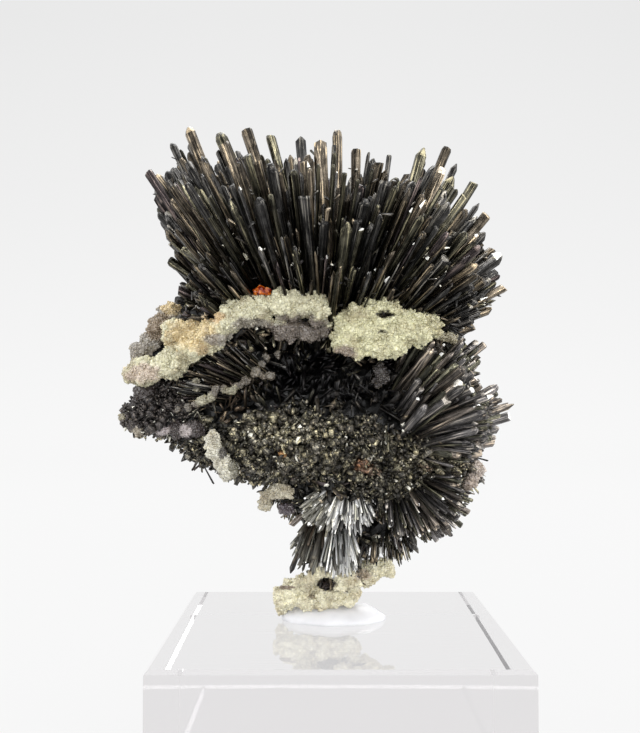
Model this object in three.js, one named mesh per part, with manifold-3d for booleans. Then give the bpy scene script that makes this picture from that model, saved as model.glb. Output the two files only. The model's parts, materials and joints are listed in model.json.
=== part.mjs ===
// A stibnite specimen: radiating metallic prisms grown together into one burr, with pale druses of
// calcite over its ledges and foot, held upright by a pad of putty on a clear display block.
// Millimetres, +Z up, the front faces -Y, the origin is the centre of the block's underside.
import * as THREE from "three";
import { mergeVertices } from "three/addons/utils/BufferGeometryUtils.js";
import Module from "manifold-3d";

const wasm = await Module();
wasm.setup();

const block = { side: 44, height: 19, bevel: 0.5 };
const gap = 0.3; // clearance between two pieces that meet
const swell = 0.55; // how much wider than a grain its pocket is
const weld = 0.001; // vertices nearer than this are one
// Corners are dropped where that moves no face further than this.
const coarse = { stibnite: 0.26, druse: 0.45 };

// Places are written as [across, up, toward]: where the point shows on the plane Y = 0 from the eye
// in front of the specimen, and how far it stands from that plane towards the front.
const eye = { across: -2.3, up: 49.8, away: 132 };

// Half sizes of the rounded masses that the crystals grow from, each with its centre.
const masses = [
  { centre: [-1.5, 62, -1], half: [14.5, 7.5, 10.5] },
  { centre: [-4, 45.6, 1], half: [18.5, 11, 7.5] },
  { centre: [-20, 46.8, 2], half: [8.5, 5.5, 3.2] },
  { centre: [9, 46.5, -1], half: [9.5, 9.5, 9] },
  { centre: [2, 52.5, -1], half: [15, 8, 5] },
  { centre: [-16, 54.5, 1.5], half: [11.5, 6.5, 5.5] },
  { centre: [1.8, 38.5, 1.5], half: [11.4, 7.5, 5] },
  { centre: [12.5, 40.5, 1], half: [6, 5, 3.6] },
  { centre: [-0.4, 30.2, -2.2], half: [4.3, 4.3, 6.6] },
  { centre: [5.6, 33.2, 0.5], half: [4.6, 4.6, 3.4] },
  { centre: [-9, 59.4, 6], half: [12, 6, 2.2] },
  { centre: [7, 58.2, 6], half: [8.5, 6, 2] },
];

const bristle = { share: 0.4, out: [0.8, 2.4], dent: 0.6 };

// Prisms that make the outline and the front of the burr.
const crownPrisms = [
  { tip: [-25.6, 79.8, 5], root: [-11.2, 58, 3], width: 1.5, end: "flat" },
  { tip: [-21.3, 77.5, 8], root: [-10.5, 58, 5], width: 2.3, end: "flat" },
  { tip: [-20.2, 85.9, 0], root: [-8.9, 58, 0], width: 1.4, end: "point" },
  { tip: [-22.4, 83.8, -3], root: [-10.4, 58, -1], width: 1.4, end: "point" },
  { tip: [-23.1, 79.9, -4], root: [-10.8, 58, -2], width: 1.4, end: "point" },
  { tip: [-16.0, 85.2, 2], root: [-4.2, 58, 1], width: 2.2, end: "point" },
  { tip: [-12.3, 85.5, 4], root: [-3.4, 58, 2], width: 1.9, end: "flat" },
  { tip: [-13.2, 82.4, 0], root: [-4.8, 58, 0], width: 1.5, end: "point" },
  { tip: [-9.0, 84.7, 3], root: [-1.6, 58, 2], width: 1.8, end: "flat" },
  { tip: [-6.4, 82.2, 1], root: [-1.6, 58, 1], width: 1.1, end: "point" },
  { tip: [-2.3, 83.4, 5], root: [-0.9, 58, 3], width: 2.1, end: "point" },
  { tip: [0.0, 85.6, 3], root: [0.4, 58, 2], width: 1.7, end: "point" },
  { tip: [2.6, 82.8, 4], root: [2.3, 58, 3], width: 1.5, end: "flat" },
  { tip: [4.8, 81.7, 2], root: [3.4, 58, 2], width: 1.5, end: "point" },
  { tip: [7.1, 82.2, -1], root: [3.9, 58, 0], width: 1.0, end: "flat" },
  { tip: [11.7, 83.2, 7], root: [4.6, 58, 6], width: 1.7, end: "point" },
  { tip: [14.9, 83.0, 1], root: [4.4, 58, 1], width: 1.5, end: "flat" },
  { tip: [14.3, 80.5, 7], root: [5.0, 58, 5], width: 1.6, end: "point" },
  { tip: [16.2, 81.0, -2], root: [5.2, 58, -1], width: 1.3, end: "point" },
  { tip: [18.6, 78.4, 2], root: [6.2, 58, 1], width: 1.5, end: "flat" },
  { tip: [19.2, 75.6, -2], root: [6.6, 58, -1], width: 1.3, end: "point" },
  { tip: [20.3, 74.0, 5], root: [7.2, 58, 4], width: 1.6, end: "flat" },
  { tip: [20.0, 71.6, 0], root: [7.6, 57.5, 0], width: 1.5, end: "point" },
  { tip: [22.2, 68.6, 6], root: [7.0, 57.5, 4], width: 1.9, end: "flat" },
  { tip: [22.0, 65.8, 2], root: [8.2, 57, 1], width: 0.9, end: "point" },
  { tip: [22.6, 64.2, 5], root: [8.8, 57, 3], width: 1.6, end: "flat" },
  { tip: [20.9, 61.3, 3], root: [8.8, 56.5, 2], width: 1.4, end: "point" },
  { tip: [18.4, 58.9, 5], root: [8.4, 55.5, 3], width: 1.4, end: "flat" },
  { tip: [-10.2, 74.0, 12], root: [-4.6, 59, 6], width: 1.8, end: "point" },
  { tip: [-15.4, 72.4, 11], root: [-8.2, 59, 6], width: 1.5, end: "point" },
  { tip: [-4.2, 75.5, 12], root: [-2.2, 59, 7], width: 1.6, end: "point" },
  { tip: [-1.3, 74.2, 13], root: [-0.6, 59, 7], width: 1.4, end: "point" },
  { tip: [5.6, 74.6, 12], root: [2.8, 59, 7], width: 1.5, end: "point" },
  { tip: [17.2, 71.4, 9], root: [6.8, 58.5, 6], width: 1.5, end: "point" },
  { tip: [12.6, 69.0, 13], root: [6.0, 58.5, 7], width: 1.4, end: "point" },
  { tip: [-22.6, 67.8, 3], root: [-11.5, 60, 2], width: 1.6, end: "flat" },
  { tip: [-21.9, 70.2, 0], root: [-11.0, 60.5, 0], width: 1.5, end: "point" },
  { tip: [-20.4, 64.6, 5], root: [-11.0, 59, 3], width: 1.5, end: "flat" },
];

const sidePrisms = [
  { tip: [19.9, 56.5, 3], root: [8.6, 47.5, 2], width: 1.1, end: "flat" },
  { tip: [19.3, 54.3, 5], root: [8.4, 46.5, 3], width: 1.0, end: "flat" },
  { tip: [21.7, 50.8, 3], root: [7.8, 42.8, 2], width: 1.7, end: "point" },
  { tip: [21.0, 49.3, 6], root: [7.8, 42.3, 4], width: 1.5, end: "flat" },
  { tip: [23.8, 48.4, 1], root: [8.0, 42.3, 1], width: 0.9, end: "point" },
  { tip: [23.2, 46.8, 3], root: [8.0, 42.0, 2], width: 1.3, end: "flat" },
  { tip: [21.8, 45.2, 5], root: [8.0, 41.6, 3], width: 1.2, end: "flat" },
  { tip: [21.1, 43.5, 2], root: [8.0, 41.0, 2], width: 1.8, end: "flat" },
  { tip: [19.5, 41.9, 5], root: [8.0, 40.6, 3], width: 1.5, end: "flat" },
];

const lowPrisms = [
  { tip: [17.7, 33.9, 3], root: [9.6, 38.6, 2], width: 1.2, end: "flat" },
  { tip: [16.7, 32.1, 4], root: [9.2, 38.4, 3], width: 1.2, end: "flat" },
  { tip: [15.4, 30.7, 2], root: [8.8, 38.2, 2], width: 1.2, end: "flat" },
  { tip: [13.4, 30.1, 4], root: [8.4, 38.0, 3], width: 1.2, end: "flat" },
  { tip: [9.7, 29.5, 2], root: [7.6, 37.6, 2], width: 1.0, end: "flat" },
  { tip: [8.0, 29.0, 4], root: [6.4, 36.8, 3], width: 0.6, end: "point" },
  { tip: [-6.3, 25.8, 1], root: [-2.8, 34.0, 1], width: 1.0, end: "point" },
  { tip: [-6.2, 32.2, 5], root: [-0.4, 37.4, 4], width: 1.0, end: "flat" },
  { tip: [-4.9, 30.8, 2], root: [-0.2, 36.8, 3], width: 0.9, end: "point" },
  { tip: [0.9, 30.6, 10], root: [1.8, 37.4, 5], width: 1.3, end: "flat" },
  { tip: [-0.9, 31.6, 9], root: [1.0, 37.6, 5], width: 1.1, end: "flat" },
  { tip: [2.9, 31.8, 9], root: [2.6, 37.8, 5], width: 1.2, end: "flat" },
];

// How far the crown reaches from its focus, for turns in degrees from straight up to the right.
const crown = {
  focus: [-1, 50],
  reach: [[-75, 22], [-66, 24.5], [-53, 26.5], [-48, 30], [-40, 38], [-28, 40], [-18, 37], [2, 35.5],
    [14, 33.5], [21, 35], [26, 36], [35, 34], [42, 31.5], [51, 29.5], [60, 27], [66, 22], [75, 20]],
};

// Fans of lesser prisms. Angles are in degrees: fan turns from straight up towards the right, tilt
// leans to the front. Each prism starts within spread of the root.
const fans = [
  { root: [-1, 58.5, 2], spread: [9.5, 2, 5], fan: [-58, 74], tilt: [-50, 46], reach: [17, 26],
    width: [1, 1.8], count: 34, seed: 5, limited: true },
  { root: [-1, 56, -4], spread: [8, 2, 2], fan: [-56, 62], tilt: [-68, -34], reach: [16, 21],
    width: [1.4, 2.2], count: 17, seed: 49, limited: true },
  { root: [8, 44.5, 1], spread: [2, 3, 3], fan: [40, 116], tilt: [-48, 40], reach: [11, 15.5],
    width: [0.9, 1.6], count: 15, seed: 17 },
  { root: [8, 39, 1], spread: [2, 1, 2], fan: [96, 186], tilt: [-50, 45], reach: [7.5, 10.5],
    width: [0.8, 1.4], count: 14, seed: 23 },
  { root: [0.5, 37.5, 3], spread: [3, 1, 1.5], fan: [150, 236], tilt: [-30, 55], reach: [7, 9.5],
    width: [0.8, 1.3], count: 13, seed: 31 },
  { root: [-0.5, 32.5, -1], spread: [3, 1, 1.5], fan: [150, 218], tilt: [-45, 42], reach: [6, 8],
    width: [0.7, 1.2], count: 12, seed: 37 },
  { root: [-5, 48, -3], spread: [10, 4, 2], fan: [-75, 75], tilt: [-88, -30], reach: [10, 15],
    width: [1.1, 1.9], count: 16, seed: 41 },
  { root: [-4, 42, -2], spread: [12, 2, 2], fan: [110, 250], tilt: [-75, -25], reach: [8, 11.5],
    width: [1, 1.7], count: 10, seed: 43 },
];

// Druses: rows of grains along a line, each row thinner than the mass that it covers.
const druses = {
  ledge_druse_left: [
    { line: [[-26.7, 52.8, 5], [-25.2, 53.1, 7], [-23, 53.4, 8], [-20.9, 54.4, 9], [-18, 56.8, 10.5],
        [-16, 58.8, 11.5], [-13.5, 60.5, 12], [-11, 61.5, 12.5], [-7.9, 61.7, 13], [-4.8, 61.8, 13],
        [-2.4, 61.3, 12.5]], count: 20, size: [1.5, 2], seed: 61 },
    { line: [[-21.8, 57.6, 8], [-19, 58, 9.5]], count: 3, size: [1.6, 2], seed: 62 },
    { line: [[-14.4, 59.2, 11], [-10.2, 59, 11.5], [-6.9, 58.7, 11.5], [-3.8, 58.4, 11], [-1.6, 58.4, 10.5]],
      count: 8, size: [1.3, 1.7], seed: 63 },
  ],
  ledge_druse_right: [
    { line: [[0.8, 59.8, 11.5], [3.1, 60.5, 12], [5.6, 61.2, 12], [7.9, 60.6, 12], [9.8, 59.5, 12],
        [11.6, 59.1, 11.5], [13, 58.7, 11]], count: 10, size: [1.3, 1.7], seed: 64 },
    { line: [[0.3, 57.8, 12], [2.6, 58.3, 12.5], [5, 58.4, 13], [7.8, 57.9, 13], [10, 57.8, 12.5],
        [11.4, 57.9, 12]], count: 8, size: [1.5, 1.9], seed: 65 },
    { line: [[0.8, 56.1, 12], [3.2, 56.6, 12.5], [6.3, 55.9, 13], [7.9, 56, 13]], count: 6,
      size: [1.2, 1.5], seed: 66 },
  ],
  shoulder_druse: [
    { line: [[-26.6, 54.9, 5], [-25.3, 56.4, 5], [-24, 58.9, 4], [-22.6, 61.2, 3]], count: 8,
      size: [1.4, 2], seed: 67 },
  ],
  vein_druse: [
    { line: [[-21.6, 47.6, 9], [-19, 48.3, 10], [-17, 49.3, 10.5], [-16.1, 50.6, 10.5], [-14.4, 50, 11],
        [-13.1, 51.1, 11], [-11, 52.4, 10.5], [-8.4, 51.9, 10.5]], count: 15, size: [0.7, 0.95],
      seed: 68 },
    { line: [[-10.8, 52.8, 10.5], [-10.2, 54.4, 10], [-7.6, 55.4, 9.5]], count: 4, size: [0.7, 0.95],
      seed: 69 },
  ],
  tip_druse: [
    { line: [[-28.6, 46.6, 3], [-26.8, 45.3, 4.5], [-23.6, 45.2, 6], [-20.5, 45, 7.5], [-18.6, 44.8, 8.5]],
      count: 9, size: [1.1, 1.5], seed: 70 },
  ],
  corner_druse: [
    { line: [[-16.9, 43.8, 10.5], [-16.2, 41.6, 10], [-14.8, 39.6, 9]], count: 6, size: [1.2, 1.7],
      seed: 71 },
  ],
  chip_druse: [
    { line: [[-9.8, 35, 5], [-8.6, 36.8, 6], [-6.6, 37, 7]], count: 5, size: [0.9, 1.3], seed: 72 },
  ],
  rim_druse: [
    { line: [[19, 40.3, 3], [18.4, 38.6, 3], [17.4, 37.4, 3]], count: 5, size: [1, 1.4], seed: 73 },
  ],
  back_druse: [
    { line: [[-15, 52, -7], [-9, 51, -9.5], [-3, 51.4, -10], [3, 53, -9.5], [8, 53, -8]], count: 10,
      size: [1.8, 2.4], seed: 74 },
  ],
  foot_druse: [
    { line: [[-6.3, 22.6, -2], [-4, 23.2, -2], [-1.4, 22.9, -2], [1.2, 23.2, -2]], count: 9,
      size: [1.8, 2.2], seed: 75 },
    { line: [[-4.6, 25.2, 0.5], [-1.4, 26, 1.5], [2, 25, 1]], count: 5, size: [1.4, 1.8], seed: 76 },
    { line: [[3.4, 25.4, -2], [5.4, 26.4, -2], [6.8, 26.6, -2]], count: 4, size: [1.2, 1.6], seed: 77 },
    { line: [[-7.3, 21.4, -3], [-7.2, 20.7, -3]], count: 2, size: [0.8, 1], seed: 78 },
  ],
};
const footPit = { at: [-1.4, 24.3, 2.2], half: [1.3, 1.6, 0.8] };
const amberGrain = { at: [-10.1, 63.9, 12.8], half: [0.9, 0.7, 0.75] };
const putty = { at: [-0.6, 0, -3.5], half: [7, 4.6], height: 2.2 };

const finish = {
  stibnite: { color: 0x26272b, roughness: 0.3, metalness: 0.9 },
  calcite: { color: 0xd9d6bf, roughness: 0.6, metalness: 0 },
  lilac: { color: 0xa79f9c, roughness: 0.6, metalness: 0 },
  amber: { color: 0xc8480f, roughness: 0.3, metalness: 0 },
  putty: { color: 0xeeeef0, roughness: 0.6, metalness: 0 },
  acrylic: { color: 0xf4f6f7, roughness: 0.05, metalness: 0, transparent: true, opacity: 0.35 },
};

// A repeatable stream of numbers from 0 to 1.
function dice(seed) {
  let state = seed >>> 0;
  const roll = () => {
    state = (Math.imul(state, 1664525) + 1013904223) >>> 0;
    return state / 4294967296;
  };
  roll();
  roll();
  return roll;
}

const between = ([low, high], share) => low + (high - low) * share;

function place([across, up, toward]) {
  const nearer = (eye.away - toward) / eye.away;
  return new THREE.Vector3(
    eye.across + (across - eye.across) * nearer,
    -toward,
    eye.up + (up - eye.up) * nearer,
  );
}

function along(line, share) {
  const step = Math.min(share, 0.9999) * (line.length - 1);
  const from = line[Math.floor(step)];
  const to = line[Math.floor(step) + 1];
  return from.map((value, i) => value + (to[i] - value) * (step - Math.floor(step)));
}

// A closed three.js geometry as a solid.
function solid(geometry) {
  const bare = geometry.clone();
  Object.keys(bare.attributes).forEach((key) => key !== "position" && bare.deleteAttribute(key));
  const merged = mergeVertices(bare, weld);
  const corners = merged.index.array;
  const kept = [];
  for (let i = 0; i < corners.length; i += 3) {
    const [a, b, c] = corners.slice(i, i + 3);
    if (a !== b && b !== c && a !== c) kept.push(a, b, c);
  }
  return new wasm.Manifold(
    new wasm.Mesh({
      numProp: 3,
      vertProperties: new Float32Array(merged.attributes.position.array),
      triVerts: new Uint32Array(kept),
    }),
  );
}

// The largest body of a solid as a three.js geometry.
function geometryOf(shape, tolerance = 0.01) {
  const bodies = shape.asOriginal().simplify(tolerance).decompose();
  const mesh = bodies.sort((a, b) => b.volume() - a.volume())[0].getMesh();
  const points = new Float32Array(mesh.numVert * 3);
  for (let i = 0; i < mesh.numVert; i++) {
    points.set(mesh.vertProperties.subarray(i * mesh.numProp, i * mesh.numProp + 3), i * 3);
  }
  return new THREE.BufferGeometry()
    .setAttribute("position", new THREE.BufferAttribute(points, 3))
    .setIndex(new THREE.BufferAttribute(mesh.triVerts, 1))
    .toNonIndexed();
}

// One prism: narrow at its root, widest at the shoulder, ending in a skewed point or a broken face.
function prism({ root, tip, width, end, sides, twist, flatness }) {
  const axis = tip.clone().sub(root);
  const length = axis.length();
  const point = end === "point" ? width * 0.9 : 0;
  const outline = [
    [0, 0],
    [width * 0.3, 0],
    [width * 0.5, length - point],
    [0, length],
  ].map(([radius, height]) => new THREE.Vector2(radius, height));
  const shape = new THREE.LatheGeometry(outline, sides);
  const spots = shape.attributes.position;
  for (let i = 0; i < spots.count; i++) {
    if (spots.getY(i) > length - point - width) {
      const skew = end === "point" ? 0.35 : 0.25;
      spots.setY(i, Math.min(spots.getY(i) + skew * spots.getX(i), length));
    }
  }
  shape.scale(1, 1, flatness);
  shape.rotateY(twist);
  const turn = new THREE.Quaternion().setFromUnitVectors(new THREE.Vector3(0, 1, 0), axis.normalize());
  return solid(shape.applyQuaternion(turn).translate(root.x, root.y, root.z));
}

function placedPrisms(list, seed) {
  const roll = dice(seed);
  return list.map(({ tip, root, width, end }) =>
    prism({ tip: place(tip), root: place(root), width, end, sides: 6, twist: roll() * Math.PI,
      flatness: 0.75 + 0.2 * roll() }));
}

function direction(fan, tilt) {
  const [turn, lean] = [fan, tilt].map(THREE.MathUtils.degToRad);
  return new THREE.Vector3(
    Math.sin(turn) * Math.cos(lean),
    -Math.sin(lean),
    Math.cos(turn) * Math.cos(lean),
  );
}

// The share of its length that a prism may keep, for its tip to stay within the crown.
function crownReach(tip) {
  const across = tip.x - crown.focus[0];
  const up = tip.z - crown.focus[1];
  const turn = THREE.MathUtils.radToDeg(Math.atan2(across, up));
  const next = Math.max(1, crown.reach.findIndex(([angle]) => angle > turn));
  const [[low, near], [high, far]] = crown.reach.slice(next - 1, next + 1);
  return between([near, far], (turn - low) / (high - low)) / Math.hypot(across, up);
}

// Lesser prisms shorten towards the ends of their fan, so that the burr keeps a rounded outline.
function fanPrisms({ root, spread, fan, tilt, reach, width, count, seed, limited }) {
  const roll = dice(seed);
  const made = [];
  for (let i = 0; i < count; i++) {
    const side = roll() * 2 - 1;
    const lean = roll() * 2 - 1;
    const angle = between(fan, (side + 1) / 2);
    const way = direction(angle, between(tilt, (lean + 1) / 2));
    const from = place([
      root[0] + spread[0] * side,
      root[1] + spread[1] * (roll() - 0.5),
      root[2] + spread[2] * lean,
    ]);
    let length = between(reach, roll()) * (1 - 0.32 * side ** 4) * (1 - 0.2 * lean ** 2);
    if (limited) {
      length *= Math.min(1, 0.93 * crownReach(from.clone().addScaledVector(way, length)));
    }
    made.push(
      prism({
        root: from,
        tip: from.clone().addScaledVector(way, length),
        width: between(width, roll() ** 1.5),
        end: roll() < 0.5 ? "point" : "flat",
        sides: 4,
        twist: roll() * Math.PI,
        flatness: 0.8,
      }),
    );
  }
  return made;
}

// A grain of crystal, stretched, turned and set down.
function boulder(at, half, roll, shape = new THREE.IcosahedronGeometry(1, 0)) {
  shape.rotateX(roll() * Math.PI).rotateY(roll() * Math.PI);
  return solid(shape.scale(...half).translate(at.x, at.y, at.z));
}

// A mass bristles with blunt crystals: some of its corners are drawn outwards.
function massOf({ centre, half }, roll) {
  const detail = Math.max(...half) > 9 ? 2 : 1;
  const shape = new THREE.IcosahedronGeometry(1, detail);
  Object.keys(shape.attributes).forEach((key) => key !== "position" && shape.deleteAttribute(key));
  const merged = mergeVertices(shape.rotateX(roll() * 3).rotateY(roll() * 3).scale(...half), weld);
  const spots = merged.attributes.position;
  const corner = new THREE.Vector3();
  for (let i = 0; i < spots.count; i++) {
    corner.fromBufferAttribute(spots, i);
    const drawn = roll() < bristle.share ? between(bristle.out, roll()) : -bristle.dent * roll();
    corner.setLength(corner.length() + drawn);
    spots.setXYZ(i, corner.x, corner.y, corner.z);
  }
  return solid(merged.translate(centre[0], -centre[2], centre[1]));
}

// The grains of a druse, each swollen by extra.
function grains(rows, extra) {
  return rows.flatMap(({ line, count, size, seed }) => {
    const roll = dice(seed);
    const made = [];
    for (let i = 0; i < count; i++) {
      const [across, up, toward] = along(line, (i + 0.5 * roll()) / Math.max(count - 0.5, 1));
      const radius = between(size, roll());
      const shift = radius * 0.35;
      const at = place([
        across + shift * (roll() - 0.5),
        up + shift * (roll() - 0.5),
        toward + shift * (roll() - 0.5),
      ]);
      const half = [radius * 1.1 + extra, radius * 1.2 + extra, radius + extra];
      const blunt = radius < 1.5 ? new THREE.BoxGeometry(1.5, 1.5, 1.5) : undefined;
      made.push(boulder(at, half, roll, blunt));
    }
    return made;
  });
}

const joined = (list) => wasm.Manifold.union(list);

function stibnite(pockets) {
  const roll = dice(3);
  const grown = joined([
    ...masses.map((mass) => massOf(mass, roll)),
    ...placedPrisms([...crownPrisms, ...sidePrisms, ...lowPrisms], 7),
    ...fans.flatMap(fanPrisms),
  ]);
  return grown.subtract(joined(pockets));
}

function puttyPad(footPocket) {
  const outline = [
    [0, 0],
    [1, 0],
    [0.96, 0.5],
    [0.7, 0.9],
    [0, 1],
  ].map(([radius, height]) => new THREE.Vector2(radius, height));
  const shape = new THREE.LatheGeometry(outline, 18).rotateX(Math.PI / 2);
  shape.scale(putty.half[0], putty.half[1], putty.height);
  shape.translate(putty.at[0], -putty.at[2], block.height);
  return solid(shape).subtract(footPocket);
}

function displayBlock() {
  const half = block.side / 2 - block.bevel;
  const face = new THREE.Shape([
    new THREE.Vector2(-half, -half),
    new THREE.Vector2(half, -half),
    new THREE.Vector2(half, half),
    new THREE.Vector2(-half, half),
  ]);
  return new THREE.ExtrudeGeometry(face, {
    depth: block.height - 2 * block.bevel,
    bevelSize: block.bevel,
    bevelThickness: block.bevel,
    bevelSegments: 1,
  }).translate(0, 0, block.bevel);
}

const specimen = new THREE.Group();

function add(name, geometry, look) {
  const mesh = new THREE.Mesh(geometry, new THREE.MeshStandardMaterial(look));
  mesh.name = name;
  specimen.add(mesh);
}

const amberAt = place(amberGrain.at);
const amber = boulder(amberAt, amberGrain.half, dice(81));
const amberPocket = boulder(amberAt, amberGrain.half.map((size) => size + swell), dice(81));
const floorOfBlock = solid(new THREE.BoxGeometry(80, 80, 40).translate(0, 0, block.height - 20 + gap));
const pockets = Object.values(druses).map((rows) => joined(grains(rows, swell)));
const pit = boulder(place(footPit.at), footPit.half, dice(82));

let earlier = amberPocket;
Object.entries(druses).forEach(([name, rows], i) => {
  let druse = joined(grains(rows, 0)).subtract(earlier).subtract(floorOfBlock);
  if (name === "foot_druse") druse = druse.subtract(pit);
  add(name, geometryOf(druse, coarse.druse), name === "tip_druse" ? finish.lilac : finish.calcite);
  earlier = earlier.add(pockets[i]);
});
add("stibnite_crystals", geometryOf(stibnite([...pockets, amberPocket]), coarse.stibnite), finish.stibnite);
add("amber_grain", geometryOf(amber), finish.amber);
add("putty_pad", geometryOf(puttyPad(pockets.at(-1))), finish.putty);
add("display_block", geometryOf(solid(displayBlock())), finish.acrylic);

export default specimen;
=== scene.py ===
# The stibnite burr on its clear block: prisms, pale crusts, amber grain, putty, studio and camera.
import json
import math

import bpy
import numpy as np
from mathutils import Matrix, Vector, noise

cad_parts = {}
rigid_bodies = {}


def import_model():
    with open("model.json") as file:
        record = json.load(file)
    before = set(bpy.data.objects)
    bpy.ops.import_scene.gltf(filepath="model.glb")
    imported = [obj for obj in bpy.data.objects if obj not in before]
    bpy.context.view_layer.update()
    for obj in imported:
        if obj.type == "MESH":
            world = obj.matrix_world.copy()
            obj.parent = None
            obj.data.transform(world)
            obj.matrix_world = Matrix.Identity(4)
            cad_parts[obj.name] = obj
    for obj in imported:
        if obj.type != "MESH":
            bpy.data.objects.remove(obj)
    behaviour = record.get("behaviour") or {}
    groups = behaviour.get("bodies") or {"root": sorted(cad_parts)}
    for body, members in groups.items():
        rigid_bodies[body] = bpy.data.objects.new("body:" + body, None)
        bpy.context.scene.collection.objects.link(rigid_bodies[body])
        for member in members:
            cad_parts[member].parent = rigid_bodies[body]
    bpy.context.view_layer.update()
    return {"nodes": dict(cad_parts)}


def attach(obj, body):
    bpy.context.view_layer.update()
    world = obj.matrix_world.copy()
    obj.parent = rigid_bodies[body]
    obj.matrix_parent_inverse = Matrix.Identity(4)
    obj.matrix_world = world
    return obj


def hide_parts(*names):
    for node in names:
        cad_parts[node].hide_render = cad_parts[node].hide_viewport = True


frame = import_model()
mm = 0.001

# Places are [across, up, toward] in millimetres: where a point shows on the plane Y = 0 from the
# camera, and how far it stands from that plane towards the front.
eye = {"across": -2.3, "up": 49.8, "away": 132}


def place(spots):
    spots = np.atleast_2d(np.asarray(spots, float))
    nearer = (eye["away"] - spots[:, 2]) / eye["away"]
    return np.column_stack((
        eye["across"] + (spots[:, 0] - eye["across"]) * nearer,
        -spots[:, 2],
        eye["up"] + (spots[:, 1] - eye["up"]) * nearer,
    ))


def shownAt(spots):
    # across and up on the plane Y = 0, where the camera sees each spot
    further = (eye["away"] / (eye["away"] + spots[:, 1]))[:, None]
    middle = np.array([eye["across"], eye["up"]])
    return middle + (spots[:, [0, 2]] - middle) * further


def smoothstep(low, high, value):
    share = np.clip((value - low) / (high - low), 0, 1)
    return share * share * (3 - 2 * share)


def unit(ways):
    return ways / np.maximum(np.linalg.norm(ways, axis=-1, keepdims=True), 1e-9)


def letGo():
    if bpy.context.mode != "OBJECT":
        bpy.ops.object.mode_set(mode="OBJECT")
    bpy.ops.object.select_all(action="DESELECT")


def pickFaces(piece, test):
    # edit mode with only the faces that pass the test selected
    bpy.ops.object.mode_set(mode="EDIT")
    bpy.ops.mesh.select_mode(type="FACE")
    bpy.ops.mesh.select_all(action="DESELECT")
    bpy.ops.object.mode_set(mode="OBJECT")
    for face in piece.data.polygons:
        face.select = test(face)
    bpy.ops.object.mode_set(mode="EDIT")


def pickPoints(piece, test):
    bpy.ops.object.mode_set(mode="EDIT")
    bpy.ops.mesh.select_mode(type="VERT")
    bpy.ops.mesh.select_all(action="DESELECT")
    bpy.ops.object.mode_set(mode="OBJECT")
    for point in piece.data.vertices:
        point.select = test(point.co)
    bpy.ops.object.mode_set(mode="EDIT")


# One prism of each kind is modelled by hand: a shaft from z = 0 to 1 that is one wide, and an end
# above z = 1 that keeps its shape however long the shaft is drawn.
prismKinds = {
    "striatedBroken": {"sides": 14, "groove": 0.88, "end": "broken", "rise": 0.2, "slant": 0.3},
    "striatedSlant": {"sides": 12, "groove": 0.88, "end": "broken", "rise": 0.75, "slant": 0.95},
    "striatedChisel": {"sides": 14, "groove": 0.88, "end": "chisel", "rise": 0.6},
    "striatedBlunt": {"sides": 12, "groove": 0.86, "end": "blunt", "rise": 0.5},
    "thinBroken": {"sides": 6, "groove": 0.88, "end": "broken", "rise": 0.2, "slant": 0.3},
    "thinSlant": {"sides": 6, "groove": 0.88, "end": "broken", "rise": 0.75, "slant": 0.95},
    "thinChisel": {"sides": 6, "groove": 0.88, "end": "chisel", "rise": 0.6},
    "pointed": {"sides": 8, "groove": 0.9, "end": "point", "rise": 0.75},
    "blade": {"sides": 8, "groove": 0.9, "end": "chisel", "rise": 0.4},
    "spike": {"sides": 5, "groove": 1, "end": "point", "rise": 0.9},
    "stub": {"sides": 5, "groove": 1, "end": "cut", "rise": 0, "slant": 0.35},
    "needle": {"sides": 4, "groove": 1, "end": "point", "rise": 1.2},
}
# each step of an end: how far it moves across and what share of the rise, then how it narrows
endSteps = {
    "broken": [((0.03, 0, 1), (0.94, 0.94))],
    "chisel": [((0.03, 0, 0.7), (0.5, 0.9)), ((0.03, 0, 0.3), (0.45, 0.7))],
    "blunt": [((0.02, 0.02, 0.55), (0.72, 0.8)), ((0.02, 0.03, 0.45), (0.45, 0.55))],
    "point": [((0.05, 0.03, 1), (0.2, 0.2))],
    "cut": [],
}


def modelPrism(kind):
    rules = prismKinds[kind]
    letGo()
    bpy.ops.mesh.primitive_cylinder_add(
        vertices=rules["sides"], radius=0.5, depth=1, location=(0, 0, 0.5), end_fill_type="NGON")
    prism = bpy.context.object
    prism.name = kind
    bpy.ops.object.transform_apply(location=True, rotation=True, scale=True)
    if rules["groove"] < 1:
        step = 2 * math.pi / rules["sides"]
        pickPoints(prism, lambda at: round(math.atan2(at.x, at.y) / step) % 2 == 1)
        bpy.ops.transform.resize(value=(rules["groove"], rules["groove"], 1))
    pickFaces(prism, lambda face: face.normal.z > 0.9)
    for (aside, inwards, share), (wide, deep) in endSteps[rules["end"]]:
        rise = share * rules["rise"]
        bpy.ops.mesh.extrude_region_move(TRANSFORM_OT_translate={"value": (aside, inwards, rise)})
        bpy.ops.transform.resize(value=(wide, deep, 1))
    if "slant" in rules:
        bpy.ops.transform.rotate(
            value=rules["slant"], orient_axis="X", center_override=(0, 0, 1 + rules["rise"]))
    bpy.ops.object.mode_set(mode="OBJECT")
    return prism


def modelGrain(kind):
    # the small blunt crystals that the crusts are made of
    letGo()
    if kind == "rhomb":
        bpy.ops.mesh.primitive_cube_add(size=1)
        grain = bpy.context.object
        pickFaces(grain, lambda face: face.normal.z > 0.9)
        bpy.ops.transform.translate(value=(0.28, 0.18, 0))
    else:
        bpy.ops.mesh.primitive_ico_sphere_add(subdivisions=1, radius=0.62)
        grain = bpy.context.object
        pickPoints(grain, lambda at: at.z > 0.3)
        bpy.ops.transform.resize(value=(0.8, 0.8, 0.75))
    bpy.ops.object.mode_set(mode="OBJECT")
    grain.name = kind
    return grain


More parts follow.
